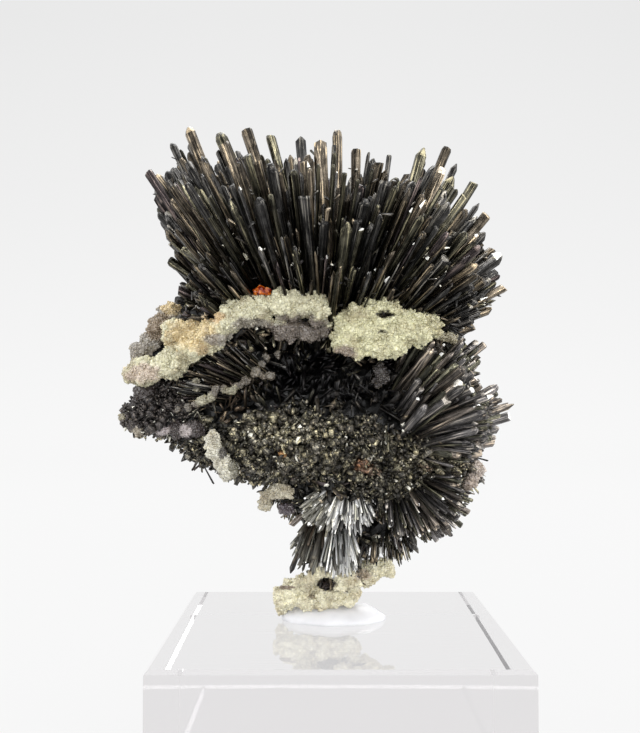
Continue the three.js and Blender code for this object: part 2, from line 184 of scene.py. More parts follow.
def arraysOf(piece):
    mesh = piece.data
    spots = np.empty(len(mesh.vertices) * 3)
    mesh.vertices.foreach_get("co", spots)
    corners = np.empty(len(mesh.loops), np.int64)
    mesh.loops.foreach_get("vertex_index", corners)
    starts = np.empty(len(mesh.polygons), np.int64)
    mesh.polygons.foreach_get("loop_start", starts)
    spots = spots.reshape(-1, 3)
    # faces of each end that take the painted highlight and glint: the slanted top, otherwise the end facets on
    # one side
    slanted = "slant" in prismKinds.get(piece.name, {})
    ends = [face.normal.z > 0.5 if slanted else
            min(spots[v][2] for v in face.vertices) > 0.99 and face.normal.x > 0.25
            for face in mesh.polygons]
    return {"spots": spots, "corners": corners, "starts": starts, "ends": np.array(ends)}


def takeTemplate(piece):
    taken = arraysOf(piece)
    bpy.data.objects.remove(piece, do_unlink=True)
    return taken


prismStock = {kind: takeTemplate(modelPrism(kind)) for kind in prismKinds}
grainStock = {kind: takeTemplate(modelGrain(kind)) for kind in ("rhomb", "ball")}
print("templates ready")


def turned(ways, twists):
    # three axes for each crystal: its length lies along its way, its width is turned by its twist
    lengthwise = unit(ways)
    helper = np.where(np.abs(lengthwise[:, 2:3]) > 0.9, [[1.0, 0, 0]], [[0, 0, 1.0]])
    first = unit(np.cross(helper, lengthwise))
    second = np.cross(lengthwise, first)
    turn, lean = np.cos(twists)[:, None], np.sin(twists)[:, None]
    return first * turn + second * lean, second * turn - first * lean, lengthwise


def meshFrom(name, lots):
    # one mesh from many placed copies, with each copy's own tint, tone and inner coordinates, and the end flag
    # on the faces that take a painted highlight and glint
    spots, corners, starts, tints, tones, ends, inner = [], [], [], [], [], [], []
    pointCount = cornerCount = 0
    for lot in lots:
        copies, points = lot["spots"].shape[:2]
        shift = pointCount + points * np.arange(copies)[:, None]
        spots.append(lot["spots"].reshape(-1, 3))
        inner.append(lot["inner"].reshape(-1, 3))
        corners.append((lot["corners"][None] + shift).ravel())
        begin = cornerCount + len(lot["corners"]) * np.arange(copies)[:, None]
        starts.append((lot["starts"][None] + begin).ravel())
        tones.append(np.repeat(lot["tones"], len(lot["starts"])))
        tints.append(np.repeat(lot["tints"], len(lot["starts"]), axis=0))
        ends.append(np.tile(lot["ends"], copies))
        pointCount += copies * points
        cornerCount += copies * len(lot["corners"])
    mesh = bpy.data.meshes.new(name)
    mesh.vertices.add(pointCount)
    mesh.vertices.foreach_set("co", (np.concatenate(spots) * mm).ravel())
    mesh.loops.add(cornerCount)
    mesh.loops.foreach_set("vertex_index", np.concatenate(corners).astype(np.int32))
    starts = np.concatenate(starts)
    mesh.polygons.add(len(starts))
    mesh.polygons.foreach_set("loop_start", starts.astype(np.int32))
    mesh.update(calc_edges=True)
    mesh.attributes.new("tone", "FLOAT", "FACE").data.foreach_set("value", np.concatenate(tones))
    mesh.attributes.new("end", "FLOAT", "FACE").data.foreach_set(
        "value", np.concatenate(ends).astype(float))
    mesh.attributes.new("tint", "FLOAT_VECTOR", "FACE").data.foreach_set(
        "vector", np.concatenate(tints).ravel())
    mesh.attributes.new("inner", "FLOAT_VECTOR", "POINT").data.foreach_set(
        "vector", np.concatenate(inner).ravel())
    piece = bpy.data.objects.new(name, mesh)
    bpy.context.collection.objects.link(piece)
    return piece


def prismLots(crystals):
    # crystals: arrays of root, way, length, width, flat, twist, kind, tone and tint, in millimetres
    lots = []
    kinds = np.asarray(crystals["kind"])
    for kind, model in prismStock.items():
        chosen = np.flatnonzero(kinds == kind)
        if not len(chosen):
            continue
        width = crystals["width"][chosen][:, None]
        rise = prismKinds[kind]["rise"]
        shaft = np.maximum(crystals["length"][chosen][:, None] - rise * width, 0.2)
        spots = model["spots"]
        height = spots[None, :, 2]
        narrow = 0.6 + 0.4 * np.clip(height, 0, 1)
        along = np.minimum(height, 1) * shaft + np.maximum(height - 1, 0) * width
        wide = spots[None, :, 0] * width * narrow
        deep = spots[None, :, 1] * width * narrow * crystals["flat"][chosen][:, None]
        first, second, third = turned(crystals["way"][chosen], crystals["twist"][chosen])
        placed = (
            crystals["root"][chosen][:, None]
            + wide[..., None] * first[:, None]
            + deep[..., None] * second[:, None]
            + along[..., None] * third[:, None]
        )
        offset = crystals["tone"][chosen][:, None] * 97
        inner = np.stack((wide + offset, deep + offset, along + offset), axis=-1)
        lots.append({"spots": placed, "inner": inner, "corners": model["corners"],
                     "starts": model["starts"], "ends": model["ends"],
                     "tones": crystals["tone"][chosen], "tints": crystals["tint"][chosen]})
    return lots


def zoned(tints, spots, zones):
    # what lies in a zone of the front takes on the zone's colour, with a ragged edge; in some zones that
    # colour is painted shade in a hollow
    seen = shownAt(spots)
    ragged = np.array([noise.noise(Vector(spot * 0.9)) for spot in spots]) if zones else 0
    for (across, up), (wide, high), colour, strength in zones:
        away = np.hypot((seen[:, 0] - across) / wide, (seen[:, 1] - up) / high) + 0.35 * ragged
        share = (strength * (1 - smoothstep(0.75, 1.15, away)))[:, None]
        tints = tints + (np.array(colour) - tints) * share
    return tints


def grainLots(at, size, tints, dice, out, stretched=(0.8, 1.35)):
    lots = []
    count = len(at)
    kinds = (dice.random(count) < 0.55) | (size < 0.27)
    tones = dice.random(count)
    ways = unit(dice.normal(size=(count, 3)) + 1.2 * out)
    twists = dice.random(count) * math.tau
    stretch = dice.uniform(*stretched, (count, 3))
    for kind, chosen in (("rhomb", np.flatnonzero(kinds)), ("ball", np.flatnonzero(~kinds))):
        model = grainStock[kind]
        axes = turned(ways[chosen], twists[chosen])
        sized = model["spots"][None] * (size[chosen][:, None] * stretch[chosen])[:, None]
        spots = sum(sized[..., i:i + 1] * axes[i][:, None] for i in range(3)) + at[chosen][:, None]
        inner = sized + (tones[chosen] * 97)[:, None, None]
        # one face in five of each grain is marked for the painted highlight and glint of the stibnite finishes
        paintedLitGrainFaces = np.arange(len(model["starts"])) % 5 == 4
        lots.append({"spots": spots, "inner": inner, "corners": model["corners"],
                     "starts": model["starts"], "ends": paintedLitGrainFaces,
                     "tones": tones[chosen], "tints": tints[chosen]})
    return lots


def dress(piece, material, slot, *nodes):
    piece.data.materials.clear()
    piece.data.materials.append(material)
    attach(piece, "root")
    if nodes:
        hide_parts(*nodes)
    return piece


# Materials: small helpers, then one function for each finish
def newFinish(name):
    finish = bpy.data.materials.new(name)
    finish.use_nodes = True
    tree = finish.node_tree
    return finish, tree.nodes, tree.links, tree.nodes["Principled BSDF"]


def addNode(nodes, kind, **values):
    node = nodes.new(kind)
    for key, value in values.items():
        if key in node.inputs:
            node.inputs[key].default_value = value
        else:
            setattr(node, key, value)
    return node


def ramp(nodes, links, source, stops):
    node = nodes.new("ShaderNodeValToRGB")
    while len(node.color_ramp.elements) < len(stops):
        node.color_ramp.elements.new(0.5)
    for element, (position, colour) in zip(node.color_ramp.elements, stops):
        element.position = position
        element.color = (*colour, 1) if len(colour) == 3 else colour
    links.new(source, node.inputs["Fac"])
    return node.outputs["Color"]


def blend(nodes, links, share, under, over, mode="MIX"):
    node = nodes.new("ShaderNodeMix")
    node.data_type = "RGBA"
    node.blend_type = mode
    node.clamp_factor = True
    for socket, value in ((node.inputs[0], share), (node.inputs[6], under), (node.inputs[7], over)):
        if hasattr(value, "links"):
            links.new(value, socket)
        elif isinstance(value, tuple):
            socket.default_value = (*value, 1)
        else:
            socket.default_value = value
    return node.outputs[2]


def attribute(nodes, name):
    return addNode(nodes, "ShaderNodeAttribute", attribute_name=name)


def multiplied(nodes, links, colour, factor):
    return blend(nodes, links, 1.0, colour, factor, "MULTIPLY")


def grey(low, high):
    return [(low[0], (low[1],) * 3), (high[0], (high[1],) * 3)]


def stibniteFinish(name, glint, sheen, metal, dark):
    # dark metal in each prism's own tint, with fine streaks along it; the end faces take a painted highlight
    # toward a paler tint, and on a few prisms a near-white, less metallic painted glint
    finish, nodes, links, shader = newFinish(name)
    inner = attribute(nodes, "inner").outputs["Vector"]
    tone = attribute(nodes, "tone").outputs["Fac"]
    tint = attribute(nodes, "tint").outputs["Vector"]
    # end is 1 on the faces that take the painted highlight and glint
    end = attribute(nodes, "end").outputs["Fac"]
    stretch = addNode(nodes, "ShaderNodeMapping")
    stretch.inputs["Scale"].default_value = (2.6, 2.6, 0.1)
    links.new(inner, stretch.inputs["Vector"])
    streaks = addNode(nodes, "ShaderNodeTexNoise", Scale=1.6, Detail=4.0, Roughness=0.65)
    links.new(stretch.outputs["Vector"], streaks.inputs["Vector"])
    patches = addNode(nodes, "ShaderNodeTexNoise", Scale=0.8, Detail=3.0)
    links.new(inner, patches.inputs["Vector"])
    streaked = multiplied(nodes, links, tint, ramp(nodes, links, streaks.outputs["Fac"],
                          [(0.36, (dark,) * 3), (0.5, (0.4 + dark / 2,) * 3), (0.62, (1, 1, 1))]))
    dusted = multiplied(nodes, links, streaked, ramp(nodes, links, patches.outputs["Fac"],
                        grey((0.38, 0.3 + dark), (0.6, 1))))
    pale = multiplied(nodes, links, tint, (2.4, 2.3, 2))
    lined = blend(nodes, links, ramp(nodes, links, streaks.outputs["Fac"], grey((0.56, 0), (0.66, 0.9))),
                  dusted, pale)
    # painted highlight: end faces lightened toward the paler tint, more so on prisms of high tone
    lit = multiplied(nodes, links, end, ramp(nodes, links, tone, grey((0.4, 0), (0.95, 0.7))))
    tipped = blend(nodes, links, lit, lined, pale)
    # painted glint: end faces of prisms with a tone above about 0.85 take the glint colour and lose most of
    # their metal
    paintedShine = multiplied(nodes, links, end, ramp(nodes, links, tone, grey((0.84, 0), (0.87, 1))))
    links.new(blend(nodes, links, paintedShine, tipped, glint), shader.inputs["Base Color"])
    links.new(ramp(nodes, links, paintedShine, grey((0, metal), (1, 0.1))), shader.inputs["Metallic"])
    links.new(ramp(nodes, links, streaks.outputs["Fac"], grey((0.3, sheen), (0.75, sheen + 0.22))),
              shader.inputs["Roughness"])
    bump = addNode(nodes, "ShaderNodeBump", Strength=0.7, Distance=0.00015)
    links.new(streaks.outputs["Fac"], bump.inputs["Height"])
    links.new(bump.outputs["Normal"], shader.inputs["Normal"])
    return finish


def crustFinish(name, glow):
    # sugary mineral in each grain's own tint, lighter and darker from grain to grain
    finish, nodes, links, shader = newFinish(name)
    tone = attribute(nodes, "tone").outputs["Fac"]
    tint = attribute(nodes, "tint").outputs["Vector"]
    where = addNode(nodes, "ShaderNodeTexCoord").outputs["Object"]
    fine = addNode(nodes, "ShaderNodeTexNoise", Scale=1900.0, Detail=3.0, Roughness=0.65)
    links.new(where, fine.inputs["Vector"])
    patches = addNode(nodes, "ShaderNodeTexNoise", Scale=420.0, Detail=3.0, Roughness=0.6)
    links.new(where, patches.inputs["Vector"])
    grained = multiplied(nodes, links, tint, ramp(nodes, links, tone, grey((0, 0.72), (0.8, 1))))
    clouded = multiplied(nodes, links, grained, ramp(nodes, links, patches.outputs["Fac"],
                         [(0.36, (0.66, 0.62, 0.58)), (0.56, (1, 1, 1))]))
    sugared = multiplied(nodes, links, clouded, ramp(nodes, links, fine.outputs["Fac"],
                         [(0.3, (0.7, 0.68, 0.64)), (0.65, (1, 1, 1))]))
    links.new(sugared, shader.inputs["Base Color"])
    links.new(ramp(nodes, links, fine.outputs["Fac"], grey((0.35, 0.16), (0.7, 0.5))),
              shader.inputs["Roughness"])
    shader.inputs["Subsurface Weight"].default_value = glow
    shader.inputs["Subsurface Radius"].default_value = (1, 0.9, 0.6)
    shader.inputs["Subsurface Scale"].default_value = 0.0008
    shader.inputs["IOR"].default_value = 1.6
    bump = addNode(nodes, "ShaderNodeBump", Strength=0.4, Distance=0.0001)
    links.new(fine.outputs["Fac"], bump.inputs["Height"])
    links.new(bump.outputs["Normal"], shader.inputs["Normal"])
    return finish


finishes = {
    # the first colour given to each stibnite finish is its painted glint colour
    "crown": stibniteFinish("stibniteCrown", (0.95, 0.95, 0.9), 0.18, 0.9, 0.06),
    # the fans' copy of the finish is lighter and less darkly streaked: painted light on the burr's right side
    "fan": stibniteFinish("stibniteLitSide", (0.95, 0.95, 0.92), 0.22, 0.7, 0.2),
    "druse": stibniteFinish("stibniteDruse", (0.8, 0.78, 0.68), 0.26, 0.55, 0.15),
    # the rosettes' copy is pale and little metallic: their silvery sheen painted as colour
    "paintedShine": stibniteFinish("stibnitePaintedSheen", (1, 1, 0.98), 0.26, 0.3, 0.5),
    "cream": crustFinish("calciteCream", 0.2),
    "lilac": crustFinish("calciteLilac", 0.12),
}
print("finishes ready")

# The burr: rounded masses that the crystals grow from, in millimetres
masses = [
    ((-1.5, 62, -1), (14.5, 7.5, 10.5)),
    ((-4, 45.6, 1), (18.5, 11, 7.5)),
    ((-20, 46.8, 2), (8.5, 5.5, 3.2)),
    ((9, 46.5, -1), (9.5, 9.5, 9)),
    ((2, 52.5, -1), (15, 8, 5)),
    ((-16, 54.5, 1.5), (11.5, 6.5, 5.5)),
    ((1.8, 38.5, 1.5), (11.4, 7.5, 5)),
    ((12.5, 40.5, 1), (6, 5, 3.6)),
    ((-0.4, 30.2, -2.2), (4.3, 4.3, 6.6)),
    ((5.6, 33.2, 0.5), (4.6, 4.6, 3.4)),
    ((-9, 59.4, 6), (12, 6, 2.2)),
    ((7, 58.2, 6), (8.5, 6, 2)),
]
burrCore = {"voxel": 0.75, "dent": 0.9, "shrink": 0.93}


def modelCore():
    # the heart of the burr, seen only between the crystals; it carries no tint, so its finish shows it black
    # as painted shade between the crystals
    letGo()
    parts = []
    for (across, up, toward), half in masses:
        bpy.ops.mesh.primitive_ico_sphere_add(
            subdivisions=4, radius=1, location=(across * mm, -toward * mm, up * mm))
        ball = bpy.context.object
        ball.scale = [size * mm * burrCore["shrink"] for size in half]
        parts.append(ball)
    for part in parts:
        part.select_set(True)
    bpy.context.view_layer.objects.active = parts[0]
    bpy.ops.object.join()
    core = bpy.context.object
    bpy.ops.object.transform_apply(location=True, rotation=True, scale=True)
    remesh = core.modifiers.new("skin", "REMESH")
    remesh.mode = "VOXEL"
    remesh.voxel_size = burrCore["voxel"] * mm
    bpy.ops.object.modifier_apply(modifier="skin")
    for point in core.data.vertices:
        swell = noise.noise(point.co * 420) + 0.6 * noise.noise(point.co * 900)
        point.co += point.normal * swell * burrCore["dent"] * mm
    core.name = "burr_heart"
    return core


core = modelCore()
print("heart of the burr has", len(core.data.polygons), "faces")


def surfaceOf(piece):
    mesh = piece.data
    count = len(mesh.polygons)
    middles, normals, areas = np.empty(count * 3), np.empty(count * 3), np.empty(count)
    mesh.polygons.foreach_get("center", middles)
    mesh.polygons.foreach_get("normal", normals)
    mesh.polygons.foreach_get("area", areas)
    return middles.reshape(-1, 3) / mm, normals.reshape(-1, 3), areas


def fanWay(fan, tilt):
    turn, lean = np.radians(fan), np.radians(tilt)
    return np.column_stack((np.sin(turn) * np.cos(lean), -np.sin(lean), np.cos(turn) * np.cos(lean)))


def pickKinds(dice, count, shares):
    return dice.choice(list(shares), count, p=list(shares.values()))


# Crusts: rows of lumps along a line, the same rows and the same dice as the solids have
druses = {
    "ledge_druse_left": [
        ([(-26.7, 52.8, 5), (-25.2, 53.1, 7), (-23, 53.4, 8), (-20.9, 54.4, 9), (-18, 56.8, 10.5),
          (-16, 58.8, 11.5), (-13.5, 60.5, 12), (-11, 61.5, 12.5), (-7.9, 61.7, 13), (-4.8, 61.8, 13),
          (-2.4, 61.3, 12.5)], 20, (1.5, 2), 61),
        ([(-21.8, 57.6, 8), (-19, 58, 9.5)], 3, (1.6, 2), 62),
        ([(-14.4, 59.2, 11), (-10.2, 59, 11.5), (-6.9, 58.7, 11.5), (-3.8, 58.4, 11), (-1.6, 58.4, 10.5)],
         8, (1.3, 1.7), 63),
    ],
    "ledge_druse_right": [
        ([(0.8, 59.8, 11.5), (3.1, 60.5, 12), (5.6, 61.2, 12), (7.9, 60.6, 12), (9.8, 59.5, 12),
          (11.6, 59.1, 11.5), (13, 58.7, 11)], 10, (1.3, 1.7), 64),
        ([(0.3, 57.8, 12), (2.6, 58.3, 12.5), (5, 58.4, 13), (7.8, 57.9, 13), (10, 57.8, 12.5),
          (11.4, 57.9, 12)], 8, (1.5, 1.9), 65),
        ([(0.8, 56.1, 12), (3.2, 56.6, 12.5), (6.3, 55.9, 13), (7.9, 56, 13)], 6, (1.2, 1.5), 66),
    ],
    "shoulder_druse": [
        ([(-26.6, 54.9, 5), (-25.3, 56.4, 5), (-24, 58.9, 4), (-22.6, 61.2, 3)], 8, (1.4, 2), 67),
    ],
    "vein_druse": [
        ([(-21.6, 47.6, 9), (-19, 48.3, 10), (-17, 49.3, 10.5), (-16.1, 50.6, 10.5), (-14.4, 50, 11),
          (-13.1, 51.1, 11), (-11, 52.4, 10.5), (-8.4, 51.9, 10.5)], 15, (0.7, 0.95), 68),
        ([(-10.8, 52.8, 10.5), (-10.2, 54.4, 10), (-7.6, 55.4, 9.5)], 4, (0.7, 0.95), 69),
    ],
    "tip_druse": [
        ([(-28.6, 46.6, 3), (-26.8, 45.3, 4.5), (-23.6, 45.2, 6), (-20.5, 45, 7.5), (-18.6, 44.8, 8.5)],
         9, (1.1, 1.5), 70),
    ],
    "corner_druse": [([(-16.9, 43.8, 10.5), (-16.2, 41.6, 10), (-14.8, 39.6, 9)], 6, (1.2, 1.7), 71)],
    "chip_druse": [([(-9.8, 35, 5), (-8.6, 36.8, 6), (-6.6, 37, 7)], 5, (0.9, 1.3), 72)],
    "rim_druse": [([(19, 40.3, 3), (18.4, 38.6, 3), (17.4, 37.4, 3)], 5, (1, 1.4), 73)],
    "back_druse": [
        ([(-15, 52, -7), (-9, 51, -9.5), (-3, 51.4, -10), (3, 53, -9.5), (8, 53, -8)], 10, (1.8, 2.4), 74),
    ],
    "foot_druse": [
        ([(-6.3, 22.6, -2), (-4, 23.2, -2), (-1.4, 22.9, -2), (1.2, 23.2, -2)], 9, (1.8, 2.2), 75),
        ([(-4.6, 25.2, 0.5), (-1.4, 26, 1.5), (2, 25, 1)], 5, (1.4, 1.8), 76),
        ([(3.4, 25.4, -2), (5.4, 26.4, -2), (6.8, 26.6, -2)], 4, (1.2, 1.6), 77),
        ([(-7.3, 21.4, -3), (-7.2, 20.7, -3)], 2, (0.8, 1), 78),
    ],
}
# small lumps beside the main ones, too small for solids of their own
smallLumps = {
    "ledge_druse_right": [([(12.6, 57.9, 8), (14.2, 57.6, 8), (16.2, 57.2, 8)], 5, (0.5, 0.75), 83),
                          ([(5.4, 51.4, 7), (6.4, 52.4, 7.5), (5.6, 53.3, 8)], 4, (0.6, 0.9), 84)],
    "chip_druse": [([(-7.1, 34.5, 5), (-6.6, 34.2, 5)], 2, (0.7, 0.9), 85)],
    "tip_druse": [([(-26.6, 50.4, 4.5), (-25.2, 49.8, 5), (-27, 48.6, 4)], 6, (0.9, 1.2), 89)],
    "vein_druse": [([(-18.9, 51.5, 9.5), (-18.9, 50.2, 9.5)], 3, (0.6, 0.8), 90)],
    "back_druse": [([(7.4, 76.2, 9), (7.1, 76.8, 8.6)], 2, (0.4, 0.5), 86),
                   ([(11.3, 77.2, 8), (11.7, 78.4, 8)], 2, (0.35, 0.5), 87),
                   ([(-12.5, 68.5, 12), (-12.2, 68.2, 12)], 2, (0.4, 0.5), 88)],
}
# For each crust: finish, number of grains, tint, and zones as for the front of the heart. A crust
# may be slimmer than its solid, have finer grains, or have pits (middle, half size, depth).
crustLook = {
    "ledge_druse_left": {"finish": "cream", "grains": 6000, "tint": (0.74, 0.71, 0.5), "zones": [
        ((-19.6, 58), (3.8, 2.5), (0.82, 0.64, 0.34), 0.8),
        ((-16.6, 60.2), (1.5, 0.8), (0.68, 0.43, 0.19), 0.7),
        ((-18.2, 55.8), (0.9, 0.8), (0.66, 0.47, 0.25), 0.65),
        ((-5.4, 57.6), (5.8, 2.7), (0.16, 0.13, 0.12), 0.93),
        ((-11.8, 59.3), (3, 0.9), (0.3, 0.27, 0.23), 0.85),
        ((-15.6, 57.1), (2.6, 0.9), (0.42, 0.39, 0.35), 0.85),
        ((-26.2, 52.6), (2.4, 1.3), (0.62, 0.49, 0.42), 0.75)],
        "pits": [((-10.2, 65.2), (2.8, 1.6), (0, 1.1)), ((-11.2, 57.5), (2.8, 1.4), (0, -1))]},
    "ledge_druse_right": {"finish": "cream", "grains": 4700, "tint": (0.78, 0.755, 0.49), "zones": [
        ((1, 55.4), (1.8, 1), (0.42, 0.34, 0.3), 0.85),
        # the next two are painted shade, near black in the two pits
        ((6.5, 60.5), (1.2, 0.5), (0.03, 0.025, 0.02), 1),
        ((6.1, 58.2), (0.5, 0.25), (0.05, 0.045, 0.03), 1),
        ((15.2, 56.8), (2.4, 1.4), (0.34, 0.3, 0.21), 0.9),
        ((5.8, 52.2), (2.6, 2), (0.09, 0.08, 0.075), 1)],
        "pits": [((6.5, 60.5), (1.2, 0.6), (2.2, 0)), ((6.1, 58.2), (0.5, 0.28), (1, 0))]},
    "shoulder_druse": {"finish": "cream", "grains": 1500, "tint": (0.42, 0.395, 0.35), "slim": 0.88, "zones": [
        ((-22.3, 62), (1.6, 1.8), (0.72, 0.56, 0.31), 0.9),
        ((-24.1, 58.9), (2.2, 2), (0.26, 0.19, 0.12), 0.85)]},
    "vein_druse": {"finish": "cream", "grains": 1300, "tint": (0.2, 0.18, 0.15), "slim": 0.56, "zones": [
        ((-18.9, 50.8), (0.8, 1.3), (0.36, 0.34, 0.26), 0.9),
        ((-17.6, 48.9), (1.5, 0.9), (0.45, 0.43, 0.31), 0.85),
        ((-14.2, 50.2), (1.3, 0.8), (0.42, 0.4, 0.28), 0.8),
        ((-10.6, 52.2), (1.4, 0.9), (0.3, 0.27, 0.22), 0.7)]},
    "tip_druse": {"finish": "lilac", "grains": 1500, "tint": (0.072, 0.058, 0.056), "slim": 0.85, "zones": [
        ((-23.5, 45.2), (1.2, 1), (0.54, 0.48, 0.48), 0.95),
        ((-20.4, 44.8), (0.9, 0.9), (0.5, 0.45, 0.45), 0.95),
        ((-26.7, 44.8), (0.9, 0.6), (0.5, 0.45, 0.36), 0.85),
        ((-28.5, 46.8), (0.9, 0.7), (0.36, 0.33, 0.23), 0.9)]},
    "corner_druse": {"finish": "cream", "grains": 1300, "tint": (0.76, 0.73, 0.6), "slim": 0.84, "zones": [
        ((-15.3, 41.9), (0.8, 0.7), (0.1, 0.09, 0.08), 0.95),
        ((-13.6, 40), (1, 1.6), (0.16, 0.15, 0.11), 0.9),
        ((-16.1, 38.9), (0.6, 0.5), (0.15, 0.13, 0.1), 0.9)]},
    "chip_druse": {"finish": "cream", "grains": 650, "tint": (0.64, 0.59, 0.45), "slim": 0.9, "zones": [
        ((-7, 34.2), (1.7, 1.4), (0.16, 0.135, 0.15), 1)]},
    "rim_druse": {"finish": "cream", "grains": 500, "tint": (0.6, 0.52, 0.46), "slim": 0.7},
    "back_druse": {"finish": "cream", "grains": 1500, "tint": (0.68, 0.65, 0.52)},
    # the foot's cream tint is set brighter than the other crusts' as painted light, making up for the shade
    # the burr casts on it; the near-black zone at (-1.4, 24.4) is painted shade in its hole
    "foot_druse": {"finish": "cream", "grains": 3600, "tint": (1, 0.95, 0.7), "zones": [
        ((-1.4, 24.4), (1.5, 0.9), (0.05, 0.035, 0.03), 1),
        ((-6.6, 23.9), (1.1, 0.3), (0.2, 0.14, 0.1), 0.9),
        ((-3.5, 22.7), (0.4, 0.4), (0.2, 0.15, 0.1), 0.8),
        ((-4.6, 26.4), (1.6, 1), (0.62, 0.52, 0.32), 0.6),
        ((3.4, 25.6), (1.4, 0.8), (0.66, 0.5, 0.42), 0.6)],
        "pits": [((-1.4, 24.4), (1.5, 0.85), (3.4, 0)), ((-6, 27.2), (3.2, 2), (0, 1.3)),
                 ((-0.6, 27.8), (2.4, 1.2), (0, 0.5))]},
}
crustRules = {"voxel": 0.26, "knobs": 16, "knob": (0.2, 0.42), "grain": (0.12, 0.36), "rough": 0.2,
              "body": (0.62, 0.86)}


def solidDice(seed):
    # the same stream of numbers that the solids were made with
    state = seed

    def roll():
        nonlocal state
        state = (state * 1664525 + 1013904223) % 4294967296
        return state / 4294967296

    roll()
    roll()
    return roll


def lumpsOf(rows):
    lumps = []
    for line, count, (small, large), seed in rows:
        roll = solidDice(seed)
        line = np.array(line, float)
        for i in range(count):
            share = min((i + 0.5 * roll()) / max(count - 0.5, 1), 0.9999) * (len(line) - 1)
            first = int(share)
            spot = line[first] + (line[first + 1] - line[first]) * (share - first)
            radius = small + (large - small) * roll()
            shift = np.array([roll() - 0.5, roll() - 0.5, roll() - 0.5]) * radius * 0.35
            lumps.append((place(spot + shift)[0], radius))
            roll()
            roll()
    return lumps


# The amber grain on the ledge: a few clear orange crystals grown together
amberRules = {"at": (-10.2, 63.7, 13.1), "sizes": (0.8, 0.62, 0.52), "bevel": 0.04}

# what nothing else may stand in front of
crustLumps = {name: lumpsOf(rows + smallLumps.get(name, [])) for name, rows in druses.items()}
frontLumps = [lump for name, lumps in crustLumps.items()
              if name not in ("back_druse", "foot_druse") for lump in lumps]
frontLumps.append((place(amberRules["at"])[0], 1.5))
crustSpots = np.array([spot for spot, size in frontLumps])
crustSizes = np.array([size for spot, size in frontLumps])


# Colours of the prisms, each with the share of them that has it
prismTints = [((0.27, 0.26, 0.25), 0.36), ((0.385, 0.32, 0.24), 0.34), ((0.3, 0.28, 0.2), 0.24),
              ((0.26, 0.21, 0.21), 0.06)]
# the fans' tints are lighter than the crown's: partly their own grey-lilac colour, partly painted light on the
# burr's right side
litSideFanTints = [((0.43, 0.405, 0.4), 0.4), ((0.44, 0.38, 0.33), 0.3), ((0.35, 0.34, 0.25), 0.3)]
# rosette tints: most needles near white, the metal's silvery sheen painted as colour; some grey, some near
# black
sheenPaintedTints = [((1, 1, 0.99), 0.7), ((0.42, 0.42, 0.38), 0.14), ((0.05, 0.047, 0.045), 0.16)]
# neck tints: mostly dark and brown needles, about one in eight near white as painted sheen
neckTints = [((0.4, 0.39, 0.33), 0.26), ((0.12, 0.11, 0.09), 0.48), ((0.22, 0.16, 0.11), 0.14),
             ((0.95, 0.95, 0.93), 0.12)]


def tintsFor(dice, tones, palette=prismTints, lowest=0.3):
    chosen = dice.choice(len(palette), len(tones), p=[share for colour, share in palette])
    colours = np.array([colour for colour, share in palette])[chosen]
    strength = lowest + (1 - lowest) * smoothstep(0.3, 1, tones)
    return colours * (strength * dice.uniform(0.8, 1.2, len(tones)))[:, None]


# How far tips reach from a focus, for turns in degrees from straight up to the right
crownReach = {
    "focus": (-1, 50),
    "turns": [-75, -66, -53, -48, -40, -28, -18, 2, 14, 21, 26, 35, 42, 51, 60, 66, 75],
    "reach": [22, 24.5, 26.5, 30, 38, 40, 37, 35.5, 33.5, 35, 36, 34, 31.5, 29.5, 27, 22, 20],
}
rightReach = {
    "focus": (7.8, 42.3),
    "turns": [20, 31, 34, 40, 44, 47, 52, 58.6, 69, 78, 85, 92, 110, 130],
    "reach": [19, 19, 18, 18.5, 16.4, 15.2, 14.6, 16, 16.8, 14.3, 13.4, 11.7, 11, 10],
}
lowReach = {
    "focus": (8, 39),
    "turns": [77, 87, 113, 128, 144, 161, 181, 191, 205],
    "reach": [12, 11, 10.8, 11, 11, 9.8, 9.5, 7.6, 7],
}
neckReach = {
    "focus": (1.3, 37.4),
    "turns": [125, 138, 150, 165, 180, 200, 220, 234, 246],
    "reach": [4.6, 5.7, 6.6, 7.2, 7.4, 7.5, 8.2, 9.3, 7.6],
}


def heldIn(outline, roots, ways, lengths, shares):
    # lengths cut down until each tip, as the camera sees it, is within its share of the outline
    for _ in range(4):
        across, up = (shownAt(roots + ways * lengths[:, None]) - outline["focus"]).T
        turns = np.degrees(np.arctan2(across, up))
        turns = np.where(turns < outline["turns"][0] - 60, turns + 360, turns)
        reach = np.interp(turns, outline["turns"], outline["reach"])
        lengths = lengths * np.minimum(1, shares * reach / np.hypot(across, up))
    return lengths
